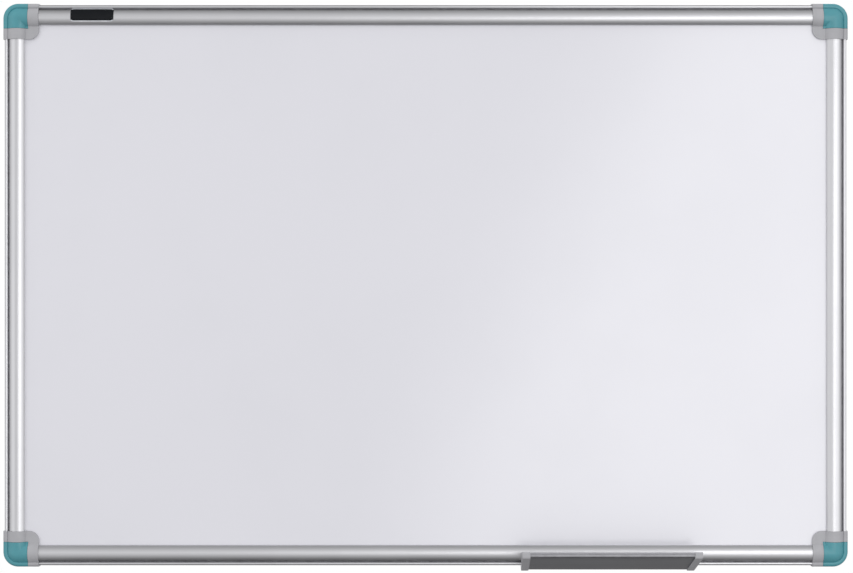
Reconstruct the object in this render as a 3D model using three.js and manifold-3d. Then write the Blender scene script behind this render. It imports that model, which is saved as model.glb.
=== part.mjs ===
// Magnetic whiteboard: a steel-faced panel in an aluminium frame, with moulded corners, snap-on
// covers over the wall screws, and a pen tray that clips on the bottom rail and slides along it.
// Millimetres, +Z up. The origin is on the wall, behind the middle of the board. The writing face
// looks along -Y, and +X is to the right of someone who faces the board.

import * as THREE from 'three';
import * as BufferGeometryUtils from 'three/addons/utils/BufferGeometryUtils.js';
import Module from 'manifold-3d';

const wasm = await Module();
wasm.setup();

// Overall size, over the moulded corners
const boardWidth = 900;
const boardHeight = 600;

// Clearances
const fitGap = 0.3;          // between parts that slide or seat on each other
const glueLine = 0.1;        // between the layers of the panel
const slotPlay = 0.2;        // above and below the panel in the rail's slot
const screwPlay = 0.15;      // round a screw's shank and under its head
const beyond = 1;            // how far a cut runs past the face that it opens

// Panel, from the writing face to the back
const faceSheet = 0.3;
const coreBoard = 8.8;
const backSheet = 0.3;
const panelThickness = faceSheet + coreBoard + backSheet + 2 * glueLine;

// Rail section: u runs inward from the rail's outer edge, v forward from its back
const railWall = 1.2;
const chamberWidth = 4.8;    // box chamber along the outer edge, which takes the corner's tenon
const flangeWidth = 16;      // back flange behind the panel
const panelSetback = 0.9;    // from the rail's web to the panel's edge
const slotTop = railWall + panelThickness + 2 * slotPlay;
const beadRadius = 1.8;
const beadRise = 0.2;        // centre of the bead above the slot's front wall
const crownRadius = 10.5;
const crownInset = 13.05;    // centre of the crown from the rail's outer edge
const crownSink = 4.7;       // centre of the crown below the slot's front wall
const crownReach = 8.3;      // from that centre inward, to where the crown drops straight to the panel
const crownWall = 1.1;
const lipWall = 1.2;         // slot's front wall, under the crown
const grooveDrop = 1;        // mouth of the groove between bead and crown, below the bead's top
const grooveDepth = 1.5;

// Corner moulding
const cornerArm = 38;        // length of each arm along the frame
const cornerRadius = 16;     // outer corner of the frame, seen from the front
const innerRadius = 10.5;    // corner of the plate that lies over the board
const backPlate = 2;         // holds the rails off the wall
const skinWall = 1.2;
const plateWall = 2.2;       // plate over the corner of the board
const railStart = 28;        // sawn end of a rail, from the outer corner
const endWall = 2.8;         // wall that a rail's end butts against
const tenonReach = 28;       // tenon inside the rail's box chamber
const tenonRoot = 4;         // tenon carried on into the screw pocket
const tenonTaper = 1.2;
const skinGrooveDrop = 0.25; // mouth of the moulded groove below the moulded bead's top
const skinGrooveDepth = 0.65;
const bridgeDrop = 0.6;      // flat that bridges the groove on hidden faces, below the bead's top

// Wall-screw pocket of a corner
const pocketWall = 1.6;
const pocketFloorWall = 1.5; // floor of the pocket over the board's corner
const bossRadius = 6;
const bossHeight = 9;
const wallScrewHole = 2.5;
const bossFlat = 5.2;        // from the boss's axis to the pocket's slanting wall
const slantWall = 1.4;
const slantPlay = 0.6;       // from that wall to the board's clipped corner
const bossRibWidth = 1.2;
const bossRibHeight = 7;

// Corner cover
const coverSize = 26.5;
const coverFoot = 5;         // lower edge of its side walls above the wall
const prongWidth = 6;
const prongThickness = 1.2;
const prongClear = 0.6;      // between a long prong and the tenon's root
const innerProngFoot = 0.6;  // lower end of the short prongs above the pocket's floor
const outerProngFoot = 8;    // lower end of the long prongs above the wall

// Frame screws, driven from behind through a rail's flange into a tenon
const screwInset = 44;       // from the outer corner, along the rail
const screwShank = 1;
const screwLength = 7.4;
const screwHead = 2.8;
const screwCrown = 2;        // flat on top of its domed head
const screwHeadHeight = 1.1;
const flangeHole = 1.4;
const pilotDepth = 0.5;      // pilot hole past the end of the screw

// Pen tray, clipped on the bottom rail
const trayCentre = 195.2;
const trayLength = 188.3;    // over the end caps, along the front
const trayReach = 58;        // front of the lip from the wall
const traySlope = THREE.MathUtils.degToRad(20.2);
const trayWall = 1.3;
const trayHook = 9;          // reach of the hook behind the rail
const trayRearEdge = 13;     // top of the rear wall, up from the rail's outer edge
const trayLipEdge = 19.1;    // top of the front lip, up from the rail's outer edge
const trayRim = 1;           // radius of the bead along both long edges
const capWidth = 8;
const capPlate = 2.2;
const capTaper = 1.3;        // each cap leans inward by this much toward its lower edge
const capRim = 1.3;          // cap proud of the aluminium
const capFoot = 1.6;         // rear end of a cap behind the rail's back
const capRoot = 2.4;         // where its rear edge has come up inside the rail's outline
const capNose = 1.5;         // rounding of a cap's front edges
const capHeel = 1.2;         // rounding of its lower corners, seen from the front

// Facets
const arcSteps = 10;
const beadSteps = 6;
const turnSteps = 8;
const roundSteps = 4;
const roundSides = 20;
const shankSides = 12;

// Worked out from the sizes above
const proud = fitGap + skinWall;
const railBack = backPlate + fitGap;
const beadCentre = new THREE.Vector2(beadRadius, slotTop + beadRise);
const crownCentre = new THREE.Vector2(crownInset, slotTop - crownSink);
const crownTop = crownCentre.y + crownRadius;
const beadTop = beadCentre.y + beadRadius;
const webOuter = railWall + chamberWidth;
const webInner = webOuter + railWall;
const chamberTop = beadTop - grooveDrop - grooveDepth - railWall;
const panelInset = proud + webInner + panelSetback;
const panelBack = railBack + railWall + slotPlay;
const panelFront = panelBack + panelThickness;
const plateUnder = panelFront + fitGap;
const plateTop = plateUnder + plateWall;
const slantLine = (reach) => 2 * cornerRadius + reach * Math.SQRT2;
const panelClip = slantLine(bossFlat + slantWall + slantPlay);
const screwLine = railWall + chamberWidth / 2;
const pocketEnd = railStart - fitGap - endWall;

const aluminium = { color: 0xc6c8cb, roughness: 0.32, metalness: 1 };
const materials = {
  face: { color: 0xeef0f2, roughness: 0.12, metalness: 0 },
  core: { color: 0xb79f7c, roughness: 0.9, metalness: 0 },
  back: { color: 0xa9adb0, roughness: 0.45, metalness: 0.8 },
  rail: aluminium,
  tray: aluminium,
  corner: { color: 0xa9aaad, roughness: 0.5, metalness: 0 },
  cover: { color: 0x549a9f, roughness: 0.4, metalness: 0 },
  screw: { color: 0x9a9c9f, roughness: 0.35, metalness: 1 },
};

const board = new THREE.Group();

// Booleans: a closed geometry becomes a solid, and comes back with the vertices of the solid

function solid(geometry) {
  const bare = geometry.clone();
  bare.deleteAttribute('normal');
  bare.deleteAttribute('uv');
  const merged = BufferGeometryUtils.mergeVertices(bare);
  return new wasm.Manifold(new wasm.Mesh({
    numProp: 3,
    vertProperties: new Float32Array(merged.attributes.position.array),
    triVerts: new Uint32Array(merged.index.array),
  }));
}

function geometryOf(piece) {
  const mesh = piece.getMesh();
  const geometry = new THREE.BufferGeometry();
  geometry.setAttribute('position', new THREE.BufferAttribute(mesh.vertProperties, 3));
  geometry.setIndex(new THREE.BufferAttribute(mesh.triVerts, 1));
  geometry.computeVertexNormals();
  return geometry;
}

function joined(pieces) {
  return pieces.reduce((whole, piece) => whole.add(piece));
}

// Shapes and prisms

function point(x, y) {
  return new THREE.Vector2(x, y);
}

function shifted(points, x, y) {
  return points.map((p) => point(p.x + x, p.y + y));
}

function arc(centre, radius, from, to, steps) {
  return new THREE.EllipseCurve(centre.x, centre.y, radius, radius, from, to, to < from).getPoints(steps);
}

function rectangle(x0, y0, x1, y1) {
  return [point(x0, y0), point(x1, y0), point(x1, y1), point(x0, y1)];
}

// Closed outline with corners rounded; each entry is a corner and its radius
function rounded(entries) {
  return entries.flatMap(([corner, radius], i) => {
    if (radius === 0) {
      return [corner];
    }
    const toLast = entries.at(i - 1)[0].clone().sub(corner).normalize();
    const toNext = entries[(i + 1) % entries.length][0].clone().sub(corner).normalize();
    const reach = radius / Math.tan(Math.acos(toLast.dot(toNext)) / 2);
    const start = corner.clone().addScaledVector(toLast, reach);
    const end = corner.clone().addScaledVector(toNext, reach);
    return new THREE.QuadraticBezierCurve(start, corner, end).getPoints(roundSteps);
  });
}

function prism(outline, from, to, holes = []) {
  const shape = new THREE.Shape(outline);
  shape.holes = holes.map((hole) => new THREE.Path(hole));
  const geometry = new THREE.ExtrudeGeometry(shape, { depth: to - from, bevelEnabled: false });
  return geometry.translate(0, 0, from);
}

function rod(x, y, radius, from, to, sides = roundSides) {
  const geometry = new THREE.CylinderGeometry(radius, radius, to - from, sides);
  return geometry.rotateX(Math.PI / 2).translate(x, y, (from + to) / 2);
}

function turned(geometry, xAxis, yAxis, zAxis) {
  const basis = new THREE.Matrix4().makeBasis(
    new THREE.Vector3(...xAxis), new THREE.Vector3(...yAxis), new THREE.Vector3(...zAxis));
  return geometry.applyMatrix4(basis);
}

// Outline of a sheet bent along a line of points, with sharp bends
function strip(line, thickness) {
  const sides = [[], []];
  line.forEach((p, i) => {
    const before = p.clone().sub(line[Math.max(i - 1, 0)]).normalize();
    const after = line[Math.min(i + 1, line.length - 1)].clone().sub(p).normalize();
    const heading = before.clone().add(after).normalize();
    const straight = before.lengthSq() > 0 ? before : after;
    const reach = thickness / 2 / heading.dot(straight);
    sides[0].push(point(p.x - heading.y * reach, p.y + heading.x * reach));
    sides[1].unshift(point(p.x + heading.y * reach, p.y - heading.x * reach));
  });
  return [...sides[0], ...sides[1]];
}

// Front of the rail, moved out by an offset: outer wall, bead, groove and crown, in that order, down
// to a level on the inner side. The groove's mouth lies a drop below the bead's top, and it is a V of
// that depth, or bridged flat at 0.
function frontOutline(offset, drop, depth, end) {
  const bead = beadRadius + offset;
  const crown = crownRadius + offset;
  const mouth = beadTop + offset - drop;
  const beadEnd = Math.asin((mouth - beadCentre.y) / bead);
  const crownStart = Math.PI - Math.asin((mouth - crownCentre.y) / crown);
  const reach = crownReach + offset;
  const crownEnd = Math.max(Math.asin((end - crownCentre.y) / crown), Math.acos(reach / crown));
  const beadArc = arc(beadCentre, bead, Math.PI, beadEnd, beadSteps);
  const crownArc = arc(crownCentre, crown, crownStart, crownEnd, arcSteps);
  const middle = (beadArc.at(-1).x + crownArc[0].x) / 2;
  const bottom = depth > 0 ? [point(middle, mouth - depth)] : [];
  const wall = crownArc.at(-1).y > end ? [point(crownCentre.x + reach, end)] : [];
  return [...beadArc, ...bottom, ...crownArc, ...wall];
}

// Adds a point wherever a closed outline crosses a distance
function splitAt(outline, distance) {
  const split = [];
  outline.forEach((p, i) => {
    const next = outline[(i + 1) % outline.length];
    split.push(p);
    if ((p.x - distance) * (next.x - distance) < 0) {
      const share = (distance - p.x) / (next.x - p.x);
      split.push(point(distance, p.y + (next.y - p.y) * share));
    }
  });
  return split;
}

// Sweeps a closed section round the outer corner of the frame. A point of the section is its
// distance in from the frame's outline and its height. Points nearer than the corner's radius run
// round an arc, and points farther in meet in a mitre. Corner space: x and y run inward along the
// two arms from the outer corner, and z runs forward from the wall.
function sweepCorner(section, armLength) {
  const ring = splitAt(section, cornerRadius);
  const rows = [ring.map((p) => new THREE.Vector3(armLength, p.x, p.y))];
  for (let i = 0; i <= turnSteps; i++) {
    const angle = (i / turnSteps) * Math.PI / 2;
    rows.push(ring.map((p) => {
      const reach = Math.max(cornerRadius - p.x, 0);
      const mitre = Math.max(cornerRadius, p.x);
      return new THREE.Vector3(mitre - reach * Math.sin(angle), mitre - reach * Math.cos(angle), p.y);
    }));
  }
  rows.push(ring.map((p) => new THREE.Vector3(p.x, armLength, p.y)));

  const positions = [];
  const face = (...corners) => {
    const [a, b, c] = corners;
    if (!a.equals(b) && !b.equals(c) && !c.equals(a)) {
      corners.forEach((corner) => positions.push(...corner));
    }
  };
  for (let row = 0; row + 1 < rows.length; row++) {
    const here = rows[row];
    const next = rows[row + 1];
    ring.forEach((_, i) => {
      const j = (i + 1) % ring.length;
      face(here[i], next[i], here[j]);
      face(here[j], next[i], next[j]);
    });
  }
  const first = rows[0];
  const last = rows.at(-1);
  THREE.ShapeUtils.triangulateShape(ring, []).forEach(([i, j, k]) => {
    face(first[i], first[j], first[k]);
    face(last[k], last[j], last[i]);
  });
  const geometry = new THREE.BufferGeometry();
  geometry.setAttribute('position', new THREE.Float32BufferAttribute(positions, 3));
  return geometry;
}

// Prism of a section (distance in from the outline, height) along either arm of a corner
function armPrism(section, from, to, arm) {
  if (arm === 0) {
    return turned(prism(section, from, to), [0, 1, 0], [0, 0, 1], [1, 0, 0]);
  }
  return turned(prism(section, -to, -from), [1, 0, 0], [0, 0, 1], [0, -1, 0]);
}

// Places: rails and what they carry are drawn in rail space, corners in corner space

const sides = [
  { name: 'top', turn: 0, out: [0, 1], length: boardWidth, next: 'right', last: 'left' },
  { name: 'right', turn: Math.PI / 2, out: [1, 0], length: boardHeight, next: 'bottom', last: 'top' },
  { name: 'bottom', turn: Math.PI, out: [0, -1], length: boardWidth, next: 'left', last: 'right' },
  { name: 'left', turn: -Math.PI / 2, out: [-1, 0], length: boardHeight, next: 'top', last: 'bottom' },
];

const corners = [
  { name: 'top_right', turn: 0, out: [1, 1] },
  { name: 'bottom_right', turn: Math.PI / 2, out: [1, -1] },
  { name: 'bottom_left', turn: Math.PI, out: [-1, -1] },
  { name: 'top_left', turn: -Math.PI / 2, out: [-1, 1] },
];

function addMesh(name, geometry, finish, position, turn = 0) {
  const mesh = new THREE.Mesh(geometry, new THREE.MeshStandardMaterial(materials[finish]));
  mesh.name = name;
  mesh.position.set(...position);
  mesh.rotation.y = turn;
  board.add(mesh);
}

function addOnRail(name, geometry, finish, side, slide = 0) {
  const upright = turned(geometry, [0, 0, -1], [0, -1, 0], [-1, 0, 0]);
  const outX = side.out[0] * (boardWidth / 2 - proud);
  const outZ = side.out[1] * (boardHeight / 2 - proud);
  addMesh(name, upright, finish, [outX + slide, -railBack, outZ], side.turn);
}

function addAtCorner(name, geometry, finish, corner) {
  const upright = turned(geometry, [-1, 0, 0], [0, 0, -1], [0, -1, 0]);
  const place = [corner.out[0] * boardWidth / 2, 0, corner.out[1] * boardHeight / 2];
  addMesh(name, upright, finish, place, corner.turn);
}

// Panel: enamelled steel face, core board and steel back, with the corners clipped off

function panelLayer(name, finish, front, thickness) {
  const x = boardWidth / 2 - panelInset;
  const z = boardHeight / 2 - panelInset;
  const clip = panelClip - 2 * panelInset;
  const outline = [
    point(x - clip, z), point(-x + clip, z), point(-x, z - clip), point(-x, -z + clip),
    point(-x + clip, -z), point(x - clip, -z), point(x, -z + clip), point(x, z - clip),
  ];
  const sheet = turned(prism(outline, -thickness, 0), [1, 0, 0], [0, 0, 1], [0, -1, 0]);
  addMesh(name, sheet, finish, [0, -front, 0]);
}

// Rails: one extrusion, sawn square, with a screw hole near each end of the flange

const railOutline = [
  point(0, 0), point(flangeWidth, 0), point(flangeWidth, railWall), point(webInner, railWall),
  point(webInner, slotTop), ...frontOutline(0, grooveDrop, grooveDepth, slotTop).reverse(),
];

function crownChamber() {
  const floor = slotTop + lipWall;
  const radius = crownRadius - crownWall;
  const end = Math.asin((floor - crownCentre.y) / radius);
  return arc(crownCentre, radius, end, Math.PI - end, arcSteps);
}

function rail(side) {
  const half = side.length / 2 - railStart;
  const boxChamber = rectangle(railWall, railWall, webOuter, chamberTop);
  let piece = solid(prism(railOutline, -half, half, [boxChamber, crownChamber()]));
  for (const end of [-1, 1]) {
    const along = end * (side.length / 2 - screwInset);
    const hole = rod(0, 0, flangeHole, -railWall, 2 * railWall, shankSides);
    const across = turned(hole, [1, 0, 0], [0, 0, -1], [0, 1, 0]);
    piece = piece.subtract(solid(across.translate(screwLine, 0, along)));
  }
  addOnRail(`rail_${side.name}`, geometryOf(piece), 'rail', side);
}

// Frame screw: pan head behind the flange, shank up into the tenon

function frameScrew(side, end) {
  const under = -screwPlay;
  const profile = [
    point(0, under - screwHeadHeight), point(screwCrown, under - screwHeadHeight),
    point(screwHead, under - screwHeadHeight / 2), point(screwHead, under),
    point(screwShank, under), point(screwShank, screwLength - screwShank),
    point(0, screwLength),
  ];
  const along = end * (side.length / 2 - screwInset);
  const screw = new THREE.LatheGeometry(profile, shankSides).translate(screwLine, 0, along);
  const near = end > 0 ? side.last : side.next;
  addOnRail(`rail_screw_${side.name}_${near}`, geometryOf(solid(screw)), 'screw', side);
}

// Corner moulding

function toCorner(points) {
  return shifted(points, proud, railBack);
}

function cornerOutside() {
  const front = toCorner(frontOutline(proud, skinGrooveDrop, skinGrooveDepth, plateTop - railBack));
  return [point(0, 0), point(cornerArm, 0), point(cornerArm, plateTop), ...front.reverse()];
}

// What stands under a cover: the same form, lower by the cover's wall and a gap
function cornerCore(armLength) {
  const foot = coverFoot - 2 * fitGap;
  const level = plateTop - proud;
  const front = toCorner(frontOutline(0, bridgeDrop, 0, level - railBack));
  return [point(proud, foot), point(armLength, foot), point(armLength, level), ...front.reverse()];
}

// Room for a rail's end and the edge of the panel, through one arm
function railRoom() {
  const far = cornerArm + beyond;
  const front = toCorner(frontOutline(fitGap, bridgeDrop, 0, plateUnder - railBack));
  const flangeEnd = proud + flangeWidth + fitGap;
  return [
    point(skinWall, backPlate), point(flangeEnd, backPlate), point(flangeEnd, panelBack - fitGap),
    point(far, panelBack - fitGap), point(far, plateUnder), ...front.reverse(),
  ];
}

// Square in from both outer sides, with the frame's round corner, cut off by a slanting line
function pocketOutline(inset, end, slant) {
  const round = arc(point(cornerRadius, cornerRadius), cornerRadius - inset,
    Math.PI, Math.PI * 1.5, turnSteps);
  const cut = slant < 2 * end ? [point(end, slant - end), point(slant - end, end)] : [point(end, end)];
  return [...round, point(end, inset), ...cut, point(inset, end)];
}

function cornerPlan() {
  const outer = arc(point(cornerRadius, cornerRadius), cornerRadius, Math.PI, Math.PI * 1.5, turnSteps);
  const inner = arc(point(cornerArm - innerRadius, cornerArm - innerRadius), innerRadius,
    0, Math.PI / 2, turnSteps);
  return [...outer, point(cornerArm, 0), ...inner, point(0, cornerArm)];
}

function screwPocket() {
  const over = plateTop + crownTop;
  const wall = proud + pocketWall;
  const low = solid(prism(pocketOutline(wall, pocketEnd, slantLine(bossFlat)), backPlate, over));
  const floor = plateUnder + pocketFloorWall;
  const high = solid(prism(pocketOutline(wall, pocketEnd, 2 * pocketEnd), floor, over));
  const half = bossRibWidth / 2;
  const kept = [solid(rod(cornerRadius, cornerRadius, bossRadius, 0, bossHeight))];
  for (const [x0, y0, x1, y1] of [
    [proud, cornerRadius - half, cornerRadius, cornerRadius + half],
    [cornerRadius - half, proud, cornerRadius + half, cornerRadius],
  ]) {
    kept.push(solid(prism(rectangle(x0, y0, x1, y1), 0, bossRibHeight)));
  }
  return low.add(high).subtract(joined(kept));
}

// Tenon that fills the rail's box chamber, with a tapered tip
function tenon(arm) {
  const u0 = proud + railWall + fitGap;
  const u1 = proud + webOuter - fitGap;
  const v0 = railBack + railWall + fitGap;
  const v1 = railBack + chamberTop - fitGap;
  const root = pocketEnd - tenonRoot;
  const tip = railStart + tenonReach;
  const plan = [
    point(root, u0), point(tip - 2 * tenonTaper, u0), point(tip, u0 + tenonTaper),
    point(tip, u1 - tenonTaper), point(tip - 2 * tenonTaper, u1), point(root, u1),
  ];
  const swapped = plan.map((p) => point(p.y, p.x)).reverse();
  const block = solid(prism(arm === 0 ? plan : swapped, v0, v1));
  const line = proud + screwLine;
  const [x, y] = arm === 0 ? [screwInset, line] : [line, screwInset];
  const end = railBack + screwLength + pilotDepth;
  return block.subtract(solid(rod(x, y, screwShank + screwPlay, 0, end, shankSides)));
}

function cornerMoulding() {
  const recess = coverSize + fitGap;
  const over = plateTop + crownTop;
  let piece = solid(sweepCorner(cornerOutside(), cornerArm));
  piece = piece.intersect(solid(prism(cornerPlan(), -beyond, over)));
  const stepped = rectangle(-beyond, -beyond, recess, recess);
  piece = piece.subtract(solid(prism(stepped, coverFoot - fitGap, over)));
  piece = piece.add(solid(sweepCorner(cornerCore(recess + fitGap), recess + fitGap)));
  for (const arm of [0, 1]) {
    piece = piece.subtract(solid(armPrism(railRoom(), railStart - fitGap, cornerArm + beyond, arm)));
  }
  const inset = panelInset - slantPlay;
  const slant = slantLine(bossFlat + slantWall);
  const far = cornerArm + beyond;
  const panelRoom = [
    point(slant - inset, inset), point(far, inset), point(far, far), point(inset, far),
    point(inset, slant - inset),
  ];
  piece = piece.subtract(solid(prism(panelRoom, panelBack - fitGap, plateUnder)));
  piece = piece.subtract(screwPocket());
  const hole = rod(cornerRadius, cornerRadius, wallScrewHole, -beyond, bossHeight + beyond);
  piece = piece.subtract(solid(hole));
  piece = piece.add(tenon(0)).add(tenon(1));
  return geometryOf(piece);
}

// Corner cover: a shell with the corner's own form, held by four prongs in the screw pocket

function coverShell() {
  const level = plateTop - skinWall;
  const outside = toCorner(frontOutline(proud, skinGrooveDrop, skinGrooveDepth, plateTop - railBack));
  const inside = toCorner(frontOutline(fitGap, bridgeDrop, 0, level - railBack));
  return [
    point(skinWall, coverFoot), ...inside, point(coverSize, level), point(coverSize, plateTop),
    ...outside.reverse(), point(0, coverFoot),
  ];
}

function coverProngs() {
  const half = prongWidth / 2;
  const near = proud + pocketWall + fitGap;
  const far = pocketEnd - fitGap;
  const low = outerProngFoot;
  const high = plateUnder + pocketFloorWall + innerProngFoot;
  const prongs = [];
  for (const [from, to, foot] of [[near, near + prongThickness, low], [far - prongThickness, far, high]]) {
    const clearOfTenon = pocketEnd - tenonRoot - half - prongClear;
    const middle = foot === low ? clearOfTenon : proud + crownInset;
    prongs.push([from, middle - half, to, middle + half, foot]);
    prongs.push([middle - half, from, middle + half, to, foot]);
  }
  return prongs;
}

function cornerCover() {
  const over = plateTop + crownTop;
  const level = plateTop - skinWall / 2;
  const filled = toCorner(frontOutline(proud - skinWall / 2, bridgeDrop, 0, level - railBack));
  const limit = solid(sweepCorner([
    point(skinWall, 0), point(coverSize, 0), point(coverSize, level), ...filled.reverse(),
  ], coverSize));
  let piece = solid(sweepCorner(coverShell(), coverSize));
  for (const [x0, y0, x1, y1, foot] of coverProngs()) {
    piece = piece.add(solid(prism(rectangle(x0, y0, x1, y1), foot, over)).intersect(limit));
  }
  return geometryOf(piece);
}

// Pen tray: a bent strip that hooks behind the bottom rail, passes under its bead, slopes up to the
// front and rises in a lip, and has a rear wall against the crown

const trayAlong = point(Math.sin(traySlope), Math.cos(traySlope));
const trayBelow = point(-Math.cos(traySlope), Math.sin(traySlope));
const trayPass = beadCentre.clone().addScaledVector(trayBelow, beadRadius + fitGap + trayWall / 2);

function trayFloorAt(v) {
  return trayPass.clone().addScaledVector(trayAlong, (v - trayPass.y) / trayAlong.y);
}

const trayFront = trayFloorAt(trayReach - railBack - trayRim);
const trayLipRim = point(trayLipEdge - trayRim, trayFront.y);
const trayRear = trayFloorAt(crownTop + fitGap + trayRim);
const trayRearRim = point(trayRearEdge - trayRim, trayRear.y);

function trayStrips(thickness) {
  const hook = -fitGap - trayWall / 2;
  return [
    strip([point(trayHook, hook), trayFloorAt(hook), trayFront, trayLipRim], thickness),
    strip([trayRear, trayRearRim], thickness),
  ];
}

function trayProfile() {
  const half = trayLength / 2 - capTaper - capPlate - fitGap;
  const pieces = trayStrips(trayWall).map((outline) => solid(prism(outline, -half, half)));
  for (const rim of [trayLipRim, trayRearRim]) {
    pieces.push(solid(rod(rim.x, rim.y, trayRim, -half, half, shankSides)));
  }
  return geometryOf(joined(pieces));
}

function railSilhouette(offset) {
  const front = frontOutline(offset, bridgeDrop, 0, slotTop);
  const sight = front.at(-1).x;
  return [point(-offset, -offset), point(sight, -offset), ...front.reverse()];
}

function trayCap(side) {
  const half = trayLength / 2;
  const span = (from, to) => (side > 0 ? [from, to] : [-to, -from]);
  const below = trayBelow.clone().multiplyScalar(trayWall / 2 + capRim);
  const rearFoot = trayFloorAt(-capFoot).add(below);
  const frontFoot = trayFloorAt(trayReach - railBack).add(below);
  const frontTop = point(trayLipEdge + capRim, trayReach - railBack + capRim);
  const rearTop = point(trayRearEdge + capRim / 2, crownTop);
  const outline = rounded([
    [rearFoot, 0], [point(-2 * fitGap, -capFoot), 0], [point(fitGap, capRoot), 0],
    [point(rearTop.x, crownCentre.y), 0], [rearTop, 0], [frontTop, capNose],
    [point(frontFoot.x + capRim, frontTop.y), capRim], [frontFoot, 0],
  ]);
  let piece = solid(prism(outline, ...span(half - capWidth - capTaper, half)));
  piece = piece.subtract(solid(prism(railSilhouette(fitGap), ...span(0, half + beyond))));

  // The inside takes the end of the aluminium and leaves the trough open
  const inner = half - capTaper - capPlate;
  const over = frontTop.x + beyond;
  const trough = [trayRear, trayFront, point(over, trayFront.y), point(over, trayRear.y)];
  const room = [
    ...trayStrips(trayWall + 2 * fitGap).map((shape) => solid(prism(shape, ...span(0, inner)))),
    ...[trayLipRim, trayRearRim].map(
      (rim) => solid(rod(rim.x, rim.y, trayRim + fitGap, ...span(0, inner), shankSides))),
    solid(prism(trough, ...span(0, inner))),
  ];
  piece = piece.subtract(joined(room));

  // Both edges lean inward toward the lower side
  const leanAt = (u) => capTaper * (frontTop.x - u) / (frontTop.x - rearFoot.x);
  const low = rearFoot.x;
  const band = rounded([
    [point(side * (half - capWidth - leanAt(low)), low), capHeel],
    [point(side * (half - leanAt(low)), low), capHeel],
    [point(side * (half - leanAt(over)), over), 0],
    [point(side * (half - capWidth - leanAt(over)), over), 0],
  ]);
  const cut = turned(prism(band, -trayReach, 2 * trayReach), [0, 0, 1], [1, 0, 0], [0, 1, 0]);
  return geometryOf(piece.intersect(solid(cut)));
}

// Assembly

panelLayer('writing_sheet', 'face', panelFront, faceSheet);
panelLayer('core_board', 'core', panelFront - faceSheet - glueLine, coreBoard);
panelLayer('backing_sheet', 'back', panelBack + backSheet, backSheet);

for (const side of sides) {
  rail(side);
  frameScrew(side, 1);
  frameScrew(side, -1);
}

for (const corner of corners) {
  addAtCorner(`corner_${corner.name}`, cornerMoulding(), 'corner', corner);
  addAtCorner(`corner_cover_${corner.name}`, cornerCover(), 'cover', corner);
}

const bottom = sides[2];
addOnRail('tray_profile', trayProfile(), 'tray', bottom, trayCentre);
addOnRail('tray_cap_left', trayCap(-1), 'corner', bottom, trayCentre);
addOnRail('tray_cap_right', trayCap(1), 'corner', bottom, trayCentre);

export default board;
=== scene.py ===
"""Magnetic whiteboard: rails, moulded corners, screw covers and pen tray, dressed and lit.

Lengths in the panel are metres. The shapes are drawn in millimetres and scaled once, when a piece
is made. Rail space: x inward from a rail's outer edge, y forward from its back, z along it.
Corner space: x and y inward along the two arms from the outer corner, z forward from the wall.
"""

import math
from functools import reduce
from types import SimpleNamespace

import bmesh
import bpy
from bpy.props import FloatProperty, FloatVectorProperty, PointerProperty
from mathutils import Matrix, Vector
from mathutils.geometry import tessellate_polygon


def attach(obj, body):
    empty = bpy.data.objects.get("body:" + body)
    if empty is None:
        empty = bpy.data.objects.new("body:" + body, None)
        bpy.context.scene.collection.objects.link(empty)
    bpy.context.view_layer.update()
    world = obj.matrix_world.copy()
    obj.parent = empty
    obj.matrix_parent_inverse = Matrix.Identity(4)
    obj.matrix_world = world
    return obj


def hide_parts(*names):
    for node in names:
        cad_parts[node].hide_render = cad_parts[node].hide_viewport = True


bl_info = {
    "name": "Magnetic whiteboard",
    "version": (1, 0, 0),
    "blender": (4, 5, 0),
    "location": "3D View > Sidebar > Whiteboard",
    "description": "Builds and lights a framed magnetic whiteboard with a sliding pen tray",
    "category": "Object",
}

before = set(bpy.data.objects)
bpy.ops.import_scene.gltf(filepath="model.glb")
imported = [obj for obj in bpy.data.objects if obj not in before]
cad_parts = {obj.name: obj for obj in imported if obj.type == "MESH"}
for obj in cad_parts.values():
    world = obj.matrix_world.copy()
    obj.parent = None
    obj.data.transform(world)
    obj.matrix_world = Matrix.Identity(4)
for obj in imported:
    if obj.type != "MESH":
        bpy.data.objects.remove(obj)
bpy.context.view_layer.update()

MM = 0.001
BEYOND = 1.0        # how far a cut runs past the face that it opens
MERGE = 0.0005      # points nearer than this are one point

# Steps along curves
CROWN_STEPS = 40
BEAD_STEPS = 16
TURN_STEPS = 24
ROUND_STEPS = 6
ROD_SIDES = 32
LABEL_STEPS = 12
LINE_TURN_STEPS = 10
LINE_STEP = 0.4     # longest step along the label's line

# Rounded edges
RAIL_EDGE = 0.12
TRAY_EDGE = 0.15
BEVEL_SEGMENTS = 2
BEVEL_ANGLE = math.radians(38)
SHARP_ANGLE = math.radians(28)

# Frame screws: shares of the head's height, of the head's radius and of the shank's radius
PAN_RIM = 0.35
RECESS_DEPTH = 0.75
RECESS_REACH = 0.55
NECK = 0.9
THREAD_ROOT = 0.82
THREAD_END = 1.6
TIP_LENGTH = 1.4
TIP = 0.7
THREAD_START, THREAD_PITCH, THREAD_CREST = 1.0, 0.8, 0.4    # the first two in millimetres

# Label plate: shares of its thickness, and how far its line stands up in millimetres
SOFT_EDGE = 0.6
SOFT_MIDDLE = 0.3    # of the soft edge
LINE_ROOT = 0.5
LINE_RISE = 0.03


# Sizes and colours

def length(name, text, millimetres):
    return FloatProperty(
        name=name, description=text, default=millimetres * MM, unit='LENGTH', precision=5)


def angle(name, text, degrees):
    return FloatProperty(
        name=name, description=text, default=math.radians(degrees), subtype='ANGLE')


def share(name, text, value):
    return FloatProperty(
        name=name, description=text, default=value, min=0, max=1, subtype='FACTOR')


def colour(name, text, *rgb):
    return FloatVectorProperty(
        name=name, description=text, default=rgb, min=0, max=1, subtype='COLOR')


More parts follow.
